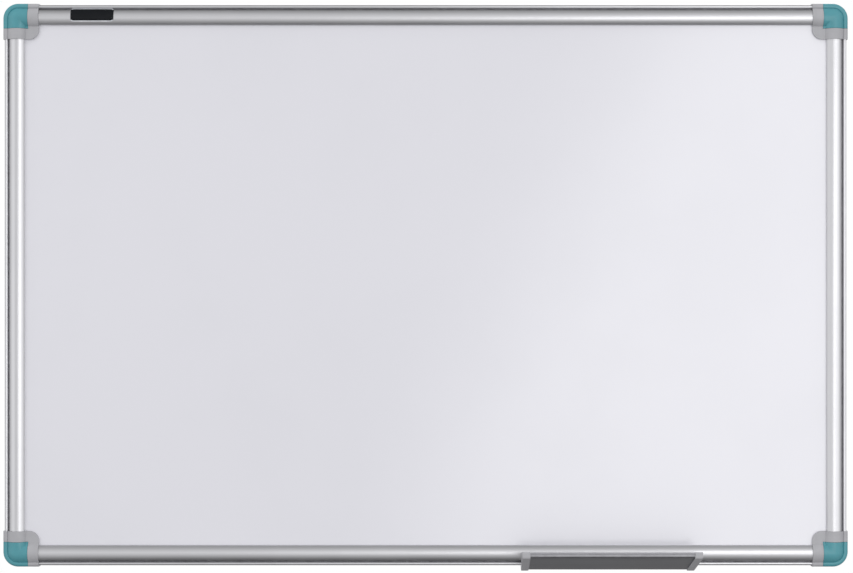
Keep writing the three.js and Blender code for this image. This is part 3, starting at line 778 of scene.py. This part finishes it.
def label_form(sizes):
    """Plate with round corners, bent over the crown, with a soft edge."""
    label, depth = sizes.label, sizes.label_depth
    soft = label.thickness * SOFT_EDGE
    parts = [i / LABEL_STEPS for i in range(LABEL_STEPS + 1)]
    corner = [label.radius * (1 - math.cos(part * math.pi / 2)) for part in parts]
    middle = [label.radius + (depth - 2 * label.radius) * part for part in parts[1:-1]]
    across = corner + middle + [depth - a for a in reversed(corner)]

    def row(distance, inset, height):
        edge = min(distance, depth - distance)
        reach = label.radius - min(max(edge, 0), label.radius)
        trim = label.radius - math.sqrt(max(label.radius ** 2 - reach ** 2, 0))
        half = max(label.width / 2 - trim - inset, 0)
        u, v = label_row(sizes, inset + distance * (depth - 2 * inset) / depth, height)
        return [(u, v, -half), (u, v, half)]

    top = label.bond + label.thickness
    waist = soft * SOFT_MIDDLE
    levels = [(0, label.bond), (0, top - soft), (waist, top - waist), (soft, top)]
    count = len(across)
    vertices = [p for level in levels for distance in across for p in row(distance, *level)]
    ring = [2 * i for i in range(count)] + [2 * i + 1 for i in reversed(range(count))]
    faces = []
    for level in range(len(levels) - 1):
        here, there = level * 2 * count, (level + 1) * 2 * count
        for a, b in zip(ring, ring[1:] + ring[:1]):
            faces.append((here + a, here + b, there + b, there + a))
    last = (len(levels) - 1) * 2 * count
    for a in range(0, 2 * count - 2, 2):
        faces.append((a, a + 1, a + 3, a + 2))
        faces.append((last + a, last + a + 2, last + a + 3, last + a + 1))
    return closed_mesh(vertices, faces)


def label_line_form(sizes):
    """Fine raised line just inside the plate's edge."""
    label = sizes.label

    def loop(inset):
        radius, half = label.radius - inset, label.width / 2 - inset
        near, far = inset, sizes.label_depth - inset
        outline = rounded([((near, -half), radius), ((far, -half), radius),
                           ((far, half), radius), ((near, half), radius)], LINE_TURN_STEPS)
        dense = []
        for i, (a, s) in enumerate(outline):
            b, t = outline[(i + 1) % len(outline)]
            pieces = max(1, round(abs(b - a) / LINE_STEP))
            dense += [(a + (b - a) * k / pieces, s + (t - s) * k / pieces)
                      for k in range(pieces)]
        return dense

    low = label.bond + label.thickness * LINE_ROOT
    high = label.bond + label.thickness + LINE_RISE
    mesh = prism(loop(label.line_inset), low, high, [loop(label.line_inset + label.line)])
    for vertex in mesh.vertices:
        u, v = label_row(sizes, vertex.co.x, vertex.co.z)
        vertex.co = (u, v, vertex.co.y)
    return mesh


# Places

SIDES = {
    "top": (0, (0, 1), "right", "left"),
    "right": (math.pi / 2, (1, 0), "bottom", "top"),
    "bottom": (math.pi, (0, -1), "left", "right"),
    "left": (-math.pi / 2, (-1, 0), "top", "bottom"),
}
CORNERS = {
    "top_right": (0, (1, 1)),
    "bottom_right": (math.pi / 2, (1, -1)),
    "bottom_left": (math.pi, (-1, -1)),
    "top_left": (-math.pi / 2, (-1, 1)),
}


def placed(axes, turn, x, y, z):
    """Matrix that turns a piece's own axes, spins it in the wall's plane and puts it there."""
    basis = Matrix(axes).transposed().to_4x4()
    return Matrix.Translation((x * MM, y * MM, z * MM)) @ Matrix.Rotation(turn, 4, 'Y') @ basis


def rail_span(sizes, side):
    return sizes.board.width if side in ("top", "bottom") else sizes.board.height


def rail_place(sizes, side, slide=0):
    turn, out = SIDES[side][:2]
    x = out[0] * (sizes.board.width / 2 - sizes.proud) + slide
    z = out[1] * (sizes.board.height / 2 - sizes.proud)
    return placed(((0, 0, -1), (0, -1, 0), (-1, 0, 0)), turn, x, -sizes.rail_back, z)


def corner_place(sizes, corner):
    turn, out = CORNERS[corner]
    x, z = out[0] * sizes.board.width / 2, out[1] * sizes.board.height / 2
    return placed(((-1, 0, 0), (0, 0, -1), (0, -1, 0)), turn, x, 0, z)


def dressed(name, mesh, material, body, place, edge=0, stands_for=None):
    """Makes a piece of a form in millimetres: scales it, rounds its edges and lets it ride."""
    mesh.transform(Matrix.Scale(MM, 4))
    piece = bpy.data.objects.new(name, mesh)
    bpy.context.scene.collection.objects.link(piece)
    if edge > 0:
        bevel = piece.modifiers.new("rounded edges", 'BEVEL')
        bevel.width = edge * MM
        bevel.segments = BEVEL_SEGMENTS
        bevel.limit_method = 'ANGLE'
        bevel.angle_limit = BEVEL_ANGLE
        bevel.miter_outer = 'MITER_ARC'
        bevel.use_clamp_overlap = True
        view = bpy.context.evaluated_depsgraph_get()
        mesh = bpy.data.meshes.new_from_object(piece.evaluated_get(view))
        piece.modifiers.clear()
        piece.data = mesh
    mesh.name = name
    mesh.shade_smooth()
    mesh.set_sharp_from_angle(angle=SHARP_ANGLE)
    mesh.materials.clear()
    mesh.materials.append(material)
    piece.modifiers.new("even shading", 'WEIGHTED_NORMAL').keep_sharp = True
    piece.matrix_world = place
    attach(piece, body)
    if stands_for:
        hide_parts(stands_for)


# Shader nodes

def feed(tree, socket, value):
    if isinstance(value, bpy.types.NodeSocket):
        tree.links.new(value, socket)
    else:
        socket.default_value = value


def node(tree, kind, inputs=(), **settings):
    """Adds a node with its settings, and feeds its inputs in their order or by their names."""
    made = tree.nodes.new(kind)
    for key, value in settings.items():
        setattr(made, key, value)
    for key, value in inputs.items() if isinstance(inputs, dict) else enumerate(inputs):
        feed(tree, made.inputs[key], value)
    return made


def maths(tree, operation, *values, clamp=False):
    return node(tree, 'ShaderNodeMath', values, operation=operation, use_clamp=clamp).outputs[0]


def product(tree, *values):
    result = values[0]
    for value in values[1:]:
        result = maths(tree, 'MULTIPLY', result, value)
    return result


def between(tree, value, low, high, to_low=0.0, to_high=1.0):
    """Smooth step of a value, from one level to the other."""
    return node(tree, 'ShaderNodeMapRange', (value, low, high, to_low, to_high),
                interpolation_type='SMOOTHSTEP').outputs[0]


def noise(tree, vector, scale, detail=2.0, roughness=0.5, distortion=0.0):
    return node(tree, 'ShaderNodeTexNoise', {
        'Vector': vector, 'Scale': scale, 'Detail': detail, 'Roughness': roughness,
        'Distortion': distortion}).outputs[0]


def split(tree, vector):
    return node(tree, 'ShaderNodeSeparateXYZ', (vector,)).outputs


def blend(tree, factor, first, second):
    """Colour between two colours or colour outputs."""
    ends = [value if isinstance(value, bpy.types.NodeSocket) else (*value, 1)
            for value in (first, second)]
    return node(tree, 'ShaderNodeMix', {0: factor, 6: ends[0], 7: ends[1]},
                data_type='RGBA').outputs[2]


def shade(rgb, amount):
    return [channel * amount for channel in rgb]


# Effects that several materials share, each a node group

def drawn_lines(tree, place, lines, stretch):
    """Fine lines that a die leaves along an extrusion, and the slow bands between them."""
    squeeze = node(tree, 'ShaderNodeCombineXYZ', (1.0, 1.0, stretch)).outputs[0]
    along = node(tree, 'ShaderNodeVectorMath', (place, squeeze), operation='MULTIPLY').outputs[0]
    fine = noise(tree, along, lines, 2.0, 0.6)
    slow = noise(tree, along, product(tree, lines, 0.12), 1.0)
    return {"Height": maths(tree, 'ADD', fine, product(tree, slow, 0.5)),
            "Band": between(tree, slow, 0.3, 0.7)}


def moulded_grain(tree, place, grains):
    """Spark-eroded grain of a mould, with faint flow marks."""
    return {"Height": noise(tree, place, grains, 2.0, 0.65),
            "Flow": between(tree, noise(tree, place, 45.0, distortion=1.5), 0.35, 0.7)}


def handling_marks(tree, place, marks):
    """Faint smudges, and dust that settles on faces that look up."""
    cloud = noise(tree, place, marks, 4.0, 0.55)
    specks = noise(tree, place, product(tree, marks, 90.0), 2.0, 0.7)
    facing = split(tree, node(tree, 'ShaderNodeNewGeometry').outputs['Normal'])
    upward = between(tree, facing['Z'], 0.6, 0.98)
    return {"Smudge": between(tree, cloud, 0.42, 0.68),
            "Dust": product(tree, upward, between(tree, specks, 0.45, 0.75))}


def edge_wear(tree, place, patches):
    """Lighter line where handling polishes a rounded edge: there the smooth normal leaves the
    face's own."""
    surface = node(tree, 'ShaderNodeNewGeometry').outputs
    flatness = node(tree, 'ShaderNodeVectorMath', (surface['Normal'], surface['True Normal']),
                    operation='DOT_PRODUCT').outputs['Value']
    rounded_edge = between(tree, flatness, 0.975, 0.997, 1.0, 0.0)
    patchy = between(tree, noise(tree, place, patches, 3.0, 0.6), 0.4, 0.6)
    return {"Wear": product(tree, rounded_edge, patchy)}


def painted_groove_shade(tree, place, start, end):
    """Painted shade that darkens a band along a groove or a lip, a little unevenly, for a place in
    rail space.
    """
    inward = split(tree, place)[0]
    middle = maths(tree, 'MULTIPLY_ADD', maths(tree, 'SUBTRACT', end, start), 0.4, start)
    rising = between(tree, inward, start, middle)
    falling = between(tree, inward, middle, end, 1.0, 0.0)
    patchy = between(tree, noise(tree, place, 150.0, 3.0), 0.3, 0.7, 0.8, 1.0)
    return {"Grime": product(tree, rising, falling, patchy)}


EFFECTS = {
    "Drawn lines": (drawn_lines, {"Lines per metre": 2500.0, "Stretch": 0.0005}),
    "Moulded grain": (moulded_grain, {"Grain per metre": 3500.0}),
    "Handling marks": (handling_marks, {"Marks per metre": 12.0}),
    "Edge wear": (edge_wear, {"Patches per metre": 160.0}),
    # Painted shade along a groove or lip, between two distances from the rail's outer edge
    "Painted groove shade": (painted_groove_shade, {"Start": 0.0036, "End": 0.0068}),
}


def build_effects():
    """Builds the node groups, each with a place, its own inputs, and what its effect gives."""
    for name, (build, inputs) in EFFECTS.items():
        group = bpy.data.node_groups.new(name, 'ShaderNodeTree')
        sockets = group.interface
        sockets.new_socket(name="Vector", in_out='INPUT', socket_type='NodeSocketVector')
        for label, value in inputs.items():
            sockets.new_socket(
                name=label, in_out='INPUT', socket_type='NodeSocketFloat').default_value = value
        place, *values = node(group, 'NodeGroupInput').outputs[:len(inputs) + 1]
        results = build(group, place, *values)
        for label in results:
            sockets.new_socket(name=label, in_out='OUTPUT', socket_type='NodeSocketFloat')
        node(group, 'NodeGroupOutput', results)


def effect(tree, name, place, *values):
    """Places an effect's group in a material, with values for its own inputs, in their order."""
    inputs = dict(zip(EFFECTS[name][1], values), Vector=place)
    return node(tree, 'ShaderNodeGroup', inputs, node_tree=bpy.data.node_groups[name]).outputs


# Looks: each gives the colour, the roughness, and the bump's height, depth and strength

MICRON = 0.000001
DUST = (0.6, 0.6, 0.59)


def enamel_look(tree, place, colours):
    """Dry-wipe enamel: smooth, glossy, with the faint ripple of baked paint."""
    smudge = effect(tree, "Handling marks", place, 5.0)['Smudge']
    return (blend(tree, smudge, colours.enamel, colours.enamel_shade),
            between(tree, smudge, 0, 1, 0.20, 0.24),
            noise(tree, place, 320.0, 2.0, 0.4), 20 * MICRON, 0.5)


def aluminium_look(tree, place, rgb, roughness, lines, painted_shade, start, end):
    """Silver anodised extrusion, with fine die lines along it, and painted shade that darkens it
    between two distances from the rail's outer edge."""
    drawn = effect(tree, "Drawn lines", place, lines)
    marks = effect(tree, "Handling marks", place, 14.0)
    tone = blend(tree, drawn['Band'], rgb, shade(rgb, 0.93))
    dusty = blend(tree, product(tree, marks['Dust'], 0.25), tone, DUST)
    # Painted shade: the colour darkens to near black inside the band
    groove_shade = product(tree, effect(tree, "Painted groove shade", place, start, end)['Grime'], painted_shade)
    rough = between(tree, drawn['Band'], 0, 1, roughness, roughness + 0.05)
    return (blend(tree, groove_shade, dusty, shade(rgb, 0.08)),
            maths(tree, 'ADD', rough, product(tree, marks['Smudge'], 0.04)),
            drawn['Height'], 30 * MICRON, 0.6)


def plastic_look(tree, place, rgb, roughness):
    """Moulded plastic with a fine grain, faint flow marks and polished edges."""
    grain = effect(tree, "Moulded grain", place)
    marks = effect(tree, "Handling marks", place, 35.0)
    wear = effect(tree, "Edge wear", place)['Wear']
    polished = [min(channel * 1.25 + 0.03, 1) for channel in rgb]
    tone = blend(tree, grain['Flow'], rgb, shade(rgb, 0.95))
    worn = blend(tree, product(tree, wear, 0.5), tone, polished)
    rough = maths(tree, 'SUBTRACT', roughness, product(tree, wear, 0.12))
    return (blend(tree, product(tree, marks['Dust'], 0.22), worn, (0.62, 0.61, 0.59)),
            maths(tree, 'ADD', rough, product(tree, marks['Smudge'], 0.06)),
            grain['Height'], 40 * MICRON, 0.5)


def coated_sheet_look(tree, place, rgb):
    """Zinc-coated sheet: crystal spangle and roller marks."""
    crystals = node(tree, 'ShaderNodeTexVoronoi', {'Vector': place, 'Scale': 150.0},
                    feature='F1', distance='MANHATTAN').outputs['Color']
    bright, dull = node(tree, 'ShaderNodeSeparateColor', (crystals,)).outputs[:2]
    smudge = effect(tree, "Handling marks", place, 9.0)['Smudge']
    spangle = blend(tree, bright, shade(rgb, 0.93), shade(rgb, 1.10))
    return (blend(tree, product(tree, smudge, 0.35), spangle, shade(rgb, 0.8)),
            between(tree, dull, 0, 1, 0.38, 0.55),
            effect(tree, "Drawn lines", place, 900.0)['Height'], 20 * MICRON, 0.5)


def fibre_look(tree, place, rgb):
    """Sawn edge of pressed fibre board."""
    fibres = noise(tree, place, 900.0, 6.0, 0.75)
    patches = noise(tree, place, 60.0, 3.0)
    tone = blend(tree, between(tree, fibres, 0.35, 0.65), shade(rgb, 0.65), shade(rgb, 1.3))
    return (blend(tree, product(tree, patches, 0.4), tone, rgb),
            between(tree, patches, 0, 1, 0.82, 0.95), fibres, 200 * MICRON, 0.8)


def zinc_look(tree, place, rgb):
    """Zinc-plated steel of the frame screws."""
    turned_marks = noise(tree, place, 2600.0, 3.0, 0.6)
    smudge = effect(tree, "Handling marks", place, 300.0)['Smudge']
    tone = blend(tree, smudge, rgb, shade(rgb, 0.82))
    wear = effect(tree, "Edge wear", place, 900.0)['Wear']
    return (blend(tree, wear, tone, shade(rgb, 1.2)),
            between(tree, turned_marks, 0.3, 0.7, 0.25, 0.42), turned_marks, 40 * MICRON, 0.5)


def lacquer_look(tree, place, rgb, roughness):
    """Glossy print lacquer of the bare plate."""
    marks = effect(tree, "Handling marks", place, 120.0)
    tone = blend(tree, marks['Smudge'], rgb, shade(rgb, 1.25))
    return (blend(tree, product(tree, marks['Dust'], 0.15), tone, (0.5, 0.5, 0.5)),
            between(tree, marks['Smudge'], 0, 1, roughness, roughness + 0.07),
            noise(tree, place, 1400.0, 2.0), 10 * MICRON, 0.5)


# Roughness, die lines per metre, depth of the painted shade, and where the painted shade starts
# and ends
# Rails: painted shade in the groove between bead and crown
RAIL_FINISH = (0.34, 2600.0, 0.8, 0.0036, 0.0068)
# Tray: painted shade in a band along its front lip
TRAY_FINISH = (0.40, 2200.0, 0.52, 0.0118, 0.0208)

# Roughness
GREY_PLASTIC = 0.42
COVER_PLASTIC = 0.28
BLACK_LACQUER = 0.12
PALE_LACQUER = 0.25

# What is the same all over a surface
ENAMEL_COAT = {'Coat Weight': 1.0, 'Coat Roughness': 0.22, 'Coat IOR': 1.68}
SOLID_METAL = {'Metallic': 1.0}
COATED_METAL = {'Metallic': 0.8}
LACQUER = {'Specular IOR Level': 0.2}


def blank_material(name):
    material = bpy.data.materials.new(name)
    material.use_nodes = True
    tree = material.node_tree
    place = node(tree, 'ShaderNodeTexCoord').outputs['Object']
    return material, tree, tree.nodes['Principled BSDF'], place


def new_material(name, constants, look, *values):
    """Material of a look, or the one of that name if it is already there."""
    if name in bpy.data.materials:
        return bpy.data.materials[name]
    material, tree, shader, place = blank_material(name)
    tone, roughness, height, depth, strength = look(tree, place, *values)
    bump = node(tree, 'ShaderNodeBump',
                {'Strength': strength, 'Distance': depth, 'Height': height}).outputs[0]
    surface = {'Base Color': tone, 'Roughness': roughness, 'Normal': bump, **constants}
    for key, value in surface.items():
        feed(tree, shader.inputs[key], value)
    return material


def floor_material(rgb):
    """Pale matt floor, seen from above only, that fades out before the edge of its plate."""
    material, tree, shader, place = blank_material("studio_floor")
    speckle = noise(tree, place, 400.0, 3.0)
    squash = node(tree, 'ShaderNodeMapping', {
        'Vector': place, 'Scale': (1 / FLOOR_REACH[0], 1 / FLOOR_REACH[1], 0)}).outputs[0]
    distance = node(tree, 'ShaderNodeVectorMath', (squash,), operation='LENGTH').outputs['Value']
    faded = between(tree, distance, 0.55, 1.0, 1.0, 0.0)
    from_above = maths(tree, 'SUBTRACT', 1.0, node(
        tree, 'ShaderNodeNewGeometry').outputs['Backfacing'])
    feed(tree, shader.inputs['Base Color'], blend(tree, speckle, rgb, shade(rgb, 0.97)))
    feed(tree, shader.inputs['Roughness'], between(tree, speckle, 0, 1, 0.75, 0.9))
    feed(tree, shader.inputs['Alpha'], product(tree, faded, from_above))
    return material


# Studio

CAMERA_DISTANCE = 2.0
IMAGE_SIZE = (853, 573)
IMAGE_SCALE = 931.5              # pixels per metre in the wall's plane
BOARD_PIXEL = (425.55, 285.2)    # where the middle of the board lies in the image
SENSOR = 36.0
FLOOR_LEVEL = -0.40
FLOOR_REACH = (0.95, 0.52)
STUDIO_TINT = (1.0, 1.0, 1.01)
STUDIO_LEVEL = 1.6
AMBIENT_BELOW, AMBIENT_ABOVE, AMBIENT_BEHIND = 0.45, 1.12, 0.65

# Name, place, target, width, height, radiance, spin in degrees, and whether metal sees it
SOFT_BOXES = (
    ("right_soft_box", (0.80, -2.05, 0), (0.80, 0, 0), 1.0, 1.7, 1.25, -25, True),
    ("left_soft_box", (-1.6, -1.3, 1.1), (-0.2, 0, 0), 0.9, 1.3, 1.4, 0, False),
    ("rear_soft_box", (0.8, 1.8, 1.3), (0, 0, 0), 1.4, 1.1, 1.5, 0, True),
)

# Levels that metal sees of the studio, each a place between the two ends of an axis and its level
FRONT_TO_BACK = (
    (0.0, 0.95), (0.05, 0.80), (0.09, 0.34), (0.14, 0.25), (0.22, 0.09), (0.33, 0.12),
    (0.456, 0.42), (0.55, 0.66), (0.68, 0.80), (0.85, 0.84), (0.95, 0.74), (1.0, 0.66))
BELOW_TO_ABOVE = (
    (0.0, 0.10), (0.047, 0.24), (0.105, 0.35), (0.18, 0.46), (0.265, 0.58), (0.362, 0.76),
    (0.456, 0.96), (0.5, 1.0), (0.56, 0.93), (0.67, 0.82), (0.757, 0.70), (0.847, 0.57),
    (0.953, 0.44), (1.0, 0.42))
LEFT_TO_RIGHT = (
    (0.0, 0.72), (0.1, 0.76), (0.3, 0.76), (0.45, 0.64), (0.525, 0.62), (0.63, 0.8),
    (0.725, 0.96), (0.82, 1.0), (0.905, 0.9), (0.953, 0.78), (0.987, 0.6), (1.0, 0.44))


def aimed(thing, place, target, spin=0):
    """Puts a lamp or camera at a place, looking at a target, and spins it about its own axis."""
    thing.location = place
    look = (Vector(target) - Vector(place)).to_track_quat('-Z', 'Y').to_matrix().to_4x4()
    thing.rotation_euler = (look @ Matrix.Rotation(spin, 4, 'Z')).to_euler()


def soft_box(name, place, target, width, height, radiance, spin, seen_by_metal):
    """Area lamp of a given brightness, where 1 is a white wall in plain light."""
    lamp = bpy.data.lights.new(name, 'AREA')
    lamp.shape = 'RECTANGLE'
    lamp.size, lamp.size_y = width, height
    lamp.energy = radiance * math.pi * width * height
    holder = bpy.data.objects.new(name, lamp)
    bpy.context.scene.collection.objects.link(holder)
    aimed(holder, place, target, math.radians(spin))
    holder.visible_camera = False
    holder.visible_glossy = seen_by_metal


def ramp(tree, axis, half, stops):
    """Level along an axis of the view direction, between stops of (position, level)."""
    made = node(tree, 'ShaderNodeValToRGB', (maths(tree, 'MULTIPLY_ADD', axis, half, 0.5),))
    while len(made.color_ramp.elements) < len(stops):
        made.color_ramp.elements.new(0.5)
    for element, (position, level) in zip(made.color_ramp.elements, stops):
        element.position = position
        element.color = (level, level, level, 1)
    return made.outputs[0]


def studio_world(ambient):
    """White background, even ambient light, and a studio that metal sees: bright in front of
    the board and brighter to its right, darker above, dark below and past its sides, and bright
    again straight behind and above that."""
    world = bpy.data.worlds.new("studio")
    bpy.context.scene.world = world
    world.use_nodes = True
    tree = world.node_tree
    x, y, z = split(tree, node(tree, 'ShaderNodeTexCoord').outputs['Generated'])[:]

    def tinted(level):
        return node(tree, 'ShaderNodeVectorMath', {0: STUDIO_TINT, 'Scale': level},
                    operation='SCALE').outputs[0]

    raised = product(tree, between(tree, y, 0.35, 0.7, 0.0, 1.6), between(tree, z, 0.0, 0.35))
    behind = product(tree, ramp(tree, y, -0.5, FRONT_TO_BACK), maths(tree, 'ADD', raised, 1.0))
    seen = product(tree, product(tree, behind, ramp(tree, z, 0.5, BELOW_TO_ABOVE)),
                   product(tree, ramp(tree, x, 0.5, LEFT_TO_RIGHT), STUDIO_LEVEL))
    plain = product(
        tree, between(tree, z, -1.0, 1.0, ambient * AMBIENT_BELOW, ambient * AMBIENT_ABOVE),
        between(tree, y, -0.3, 0.6, 1.0, AMBIENT_BEHIND))
    path = node(tree, 'ShaderNodeLightPath').outputs
    studio = blend(tree, path['Is Glossy Ray'], tinted(plain), tinted(seen))
    white = maths(tree, 'ADD', path['Is Camera Ray'], path['Is Transmission Ray'], clamp=True)
    feed(tree, tree.nodes['Background'].inputs['Color'], blend(tree, white, studio, (1, 1, 1)))


# Operators

class WHITEBOARD_OT_stage(bpy.types.Operator):
    """Adds the camera, the lamps, the white surroundings and the pale floor"""
    bl_idname = "whiteboard.stage"
    bl_label = "Stage"

    def execute(self, context):
        scene = context.scene
        camera = bpy.data.objects.new("camera", bpy.data.cameras.new("camera"))
        scene.collection.objects.link(camera)
        camera.data.sensor_width = SENSOR
        camera.data.lens = SENSOR * CAMERA_DISTANCE * IMAGE_SCALE / IMAGE_SIZE[0]
        x = (IMAGE_SIZE[0] / 2 - BOARD_PIXEL[0]) / IMAGE_SCALE
        z = (BOARD_PIXEL[1] - IMAGE_SIZE[1] / 2) / IMAGE_SCALE
        aimed(camera, (x, -CAMERA_DISTANCE, z), (x, 0, z))
        scene.camera = camera
        scene.view_settings.view_transform = 'Standard'

        studio_world(scene.board_colours.ambient)
        for lamp in SOFT_BOXES:
            soft_box(*lamp)

        floor_mesh = bpy.data.meshes.new("floor")
        x, y = FLOOR_REACH
        floor_mesh.from_pydata(
            [(-x, -y, 0), (x, -y, 0), (x, y, 0), (-x, y, 0)], [], [(0, 1, 2, 3)])
        floor_mesh.materials.append(floor_material(scene.board_colours.floor))
        floor = bpy.data.objects.new("floor", floor_mesh)
        scene.collection.objects.link(floor)
        floor.location.z = FLOOR_LEVEL
        floor.visible_glossy = False
        floor.visible_diffuse = False
        return {'FINISHED'}


class WHITEBOARD_OT_panel(bpy.types.Operator):
    """Gives the writing sheet, the core board and the backing sheet their materials"""
    bl_idname = "whiteboard.panel"
    bl_label = "Panel"

    def execute(self, context):
        colours = context.scene.board_colours
        finishes = {
            "writing_sheet": ("dry_wipe_enamel", ENAMEL_COAT, enamel_look, colours),
            "core_board": ("fibre_board", {}, fibre_look, colours.fibre),
            "backing_sheet": ("zinc_coated_sheet", COATED_METAL, coated_sheet_look, colours.sheet),
        }
        for name, finish in finishes.items():
            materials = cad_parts[name].data.materials
            materials.clear()
            materials.append(new_material(*finish))
        return {'FINISHED'}


class WHITEBOARD_OT_rails(bpy.types.Operator):
    """Adds the four aluminium rails"""
    bl_idname = "whiteboard.rails"
    bl_label = "Rails"

    def execute(self, context):
        sizes = board_sizes(context)
        aluminium = new_material("silver_anodised_rail", SOLID_METAL, aluminium_look,
                                 context.scene.board_colours.aluminium, *RAIL_FINISH)
        for side in SIDES:
            dressed(f"anodised_rail_{side}", rail_form(sizes, rail_span(sizes, side)), aluminium,
                    "frame", rail_place(sizes, side), RAIL_EDGE,
                    f"rail_{side}")
        return {'FINISHED'}


class WHITEBOARD_OT_frame_screws(bpy.types.Operator):
    """Adds the screws behind the rails"""
    bl_idname = "whiteboard.frame_screws"
    bl_label = "Frame screws"

    def execute(self, context):
        sizes = board_sizes(context)
        zinc = new_material("zinc_plated_steel", SOLID_METAL, zinc_look,
                            context.scene.board_colours.zinc)
        for side, (_, _, following, last) in SIDES.items():
            for end, near in ((1, last), (-1, following)):
                form = turned(frame_screw_form(sizes), (1, 0, 0), (0, 0, -1), (0, 1, 0))
                along = end * (rail_span(sizes, side) / 2 - sizes.screw.inset)
                dressed(f"pan_screw_{side}_{near}", moved(form, sizes.screw_line, 0, along), zinc,
                        "frame", rail_place(sizes, side), 0,
                        f"rail_screw_{side}_{near}")
        return {'FINISHED'}


def grey_material(context):
    return new_material("light_grey_moulding", {}, plastic_look,
                        context.scene.board_colours.grey_plastic, GREY_PLASTIC)


class WHITEBOARD_OT_corners(bpy.types.Operator):
    """Adds the four corner mouldings"""
    bl_idname = "whiteboard.corners"
    bl_label = "Corner mouldings"

    def execute(self, context):
        sizes = board_sizes(context)
        form = corner_form(sizes)
        for corner in CORNERS:
            dressed(f"moulded_corner_{corner}", form.copy(), grey_material(context),
                    "frame", corner_place(sizes, corner), sizes.corner.edge,
                    f"corner_{corner}")
        return {'FINISHED'}


class WHITEBOARD_OT_covers(bpy.types.Operator):
    """Adds the four covers over the wall screws"""
    bl_idname = "whiteboard.covers"
    bl_label = "Corner covers"

    def execute(self, context):
        sizes = board_sizes(context)
        blue_green = new_material("blue_green_moulding", {}, plastic_look,
                                  context.scene.board_colours.cover_plastic, COVER_PLASTIC)
        form = cover_form(sizes)
        for corner in CORNERS:
            dressed(f"screw_cover_{corner}", form.copy(), blue_green,
                    f"cover_{corner}", corner_place(sizes, corner), sizes.cover.edge,
                    f"corner_cover_{corner}")
        return {'FINISHED'}


class WHITEBOARD_OT_tray(bpy.types.Operator):
    """Adds the pen tray and its two end caps"""
    bl_idname = "whiteboard.tray"
    bl_label = "Pen tray"

    def execute(self, context):
        sizes = board_sizes(context)
        place = rail_place(sizes, "bottom", sizes.tray.centre)
        # The tray's darker colour is painted shade
        aluminium = new_material("silver_anodised_tray", SOLID_METAL, aluminium_look,
                                 context.scene.board_colours.tray_aluminium, *TRAY_FINISH)
        dressed("anodised_tray", tray_form(sizes), aluminium, "tray", place,
                TRAY_EDGE, "tray_profile")
        for side, name in ((-1, "left"), (1, "right")):
            dressed(f"end_cap_{name}", cap_form(sizes, side), grey_material(context),
                    "tray", place, sizes.tray.cap_edge, f"tray_cap_{name}")
        return {'FINISHED'}


class WHITEBOARD_OT_label(bpy.types.Operator):
    """Adds the bare plate on the top rail, with the fine line round it"""
    bl_idname = "whiteboard.label"
    bl_label = "Bare label plate"

    def execute(self, context):
        sizes = board_sizes(context)
        colours = context.scene.board_colours
        place = rail_place(sizes, "top", -sizes.label.centre)
        black = new_material("black_gloss_plate", LACQUER, lacquer_look, colours.label,
                             BLACK_LACQUER)
        pale = new_material("pale_plate_line", LACQUER, lacquer_look, colours.label_line,
                            PALE_LACQUER)
        dressed("bare_plate", label_form(sizes), black, "frame", place)
        dressed("bare_plate_line", label_line_form(sizes), pale, "frame", place)
        return {'FINISHED'}


PIECE_OPERATORS = (
    WHITEBOARD_OT_stage, WHITEBOARD_OT_panel, WHITEBOARD_OT_rails, WHITEBOARD_OT_frame_screws,
    WHITEBOARD_OT_corners, WHITEBOARD_OT_covers, WHITEBOARD_OT_tray, WHITEBOARD_OT_label,
)
PROPERTY_HOLDERS = {
    "board_sizes": BoardSizes, "rail_sizes": RailSizes, "corner_sizes": CornerSizes,
    "cover_sizes": CoverSizes, "screw_sizes": ScrewSizes, "tray_sizes": TraySizes,
    "label_sizes": LabelSizes, "board_colours": BoardColours,
}


class VIEW3D_PT_whiteboard(bpy.types.Panel):
    """Lists the steps that build the whiteboard, and its sizes and colours"""
    bl_idname = "VIEW3D_PT_whiteboard"
    bl_label = "Magnetic whiteboard"
    bl_space_type = 'VIEW_3D'
    bl_region_type = 'UI'
    bl_category = "Whiteboard"

    def draw(self, context):
        for operator in PIECE_OPERATORS:
            self.layout.operator(operator.bl_idname)
        for holder, kind in PROPERTY_HOLDERS.items():
            box = self.layout.box()
            box.label(text=kind.__doc__)
            for key in kind.__annotations__:
                box.prop(getattr(context.scene, holder), key)


CLASSES = (*PROPERTY_HOLDERS.values(), *PIECE_OPERATORS, VIEW3D_PT_whiteboard)


def register():
    for kind in CLASSES:
        bpy.utils.register_class(kind)
    for holder, kind in PROPERTY_HOLDERS.items():
        setattr(bpy.types.Scene, holder, PointerProperty(type=kind))


def unregister():
    for holder in PROPERTY_HOLDERS:
        delattr(bpy.types.Scene, holder)
    for kind in reversed(CLASSES):
        bpy.utils.unregister_class(kind)


def main():
    register()
    build_effects()
    for operator in PIECE_OPERATORS:
        getattr(bpy.ops.whiteboard, operator.bl_idname.split(".")[1])()


if __name__ == "__main__":
    main()
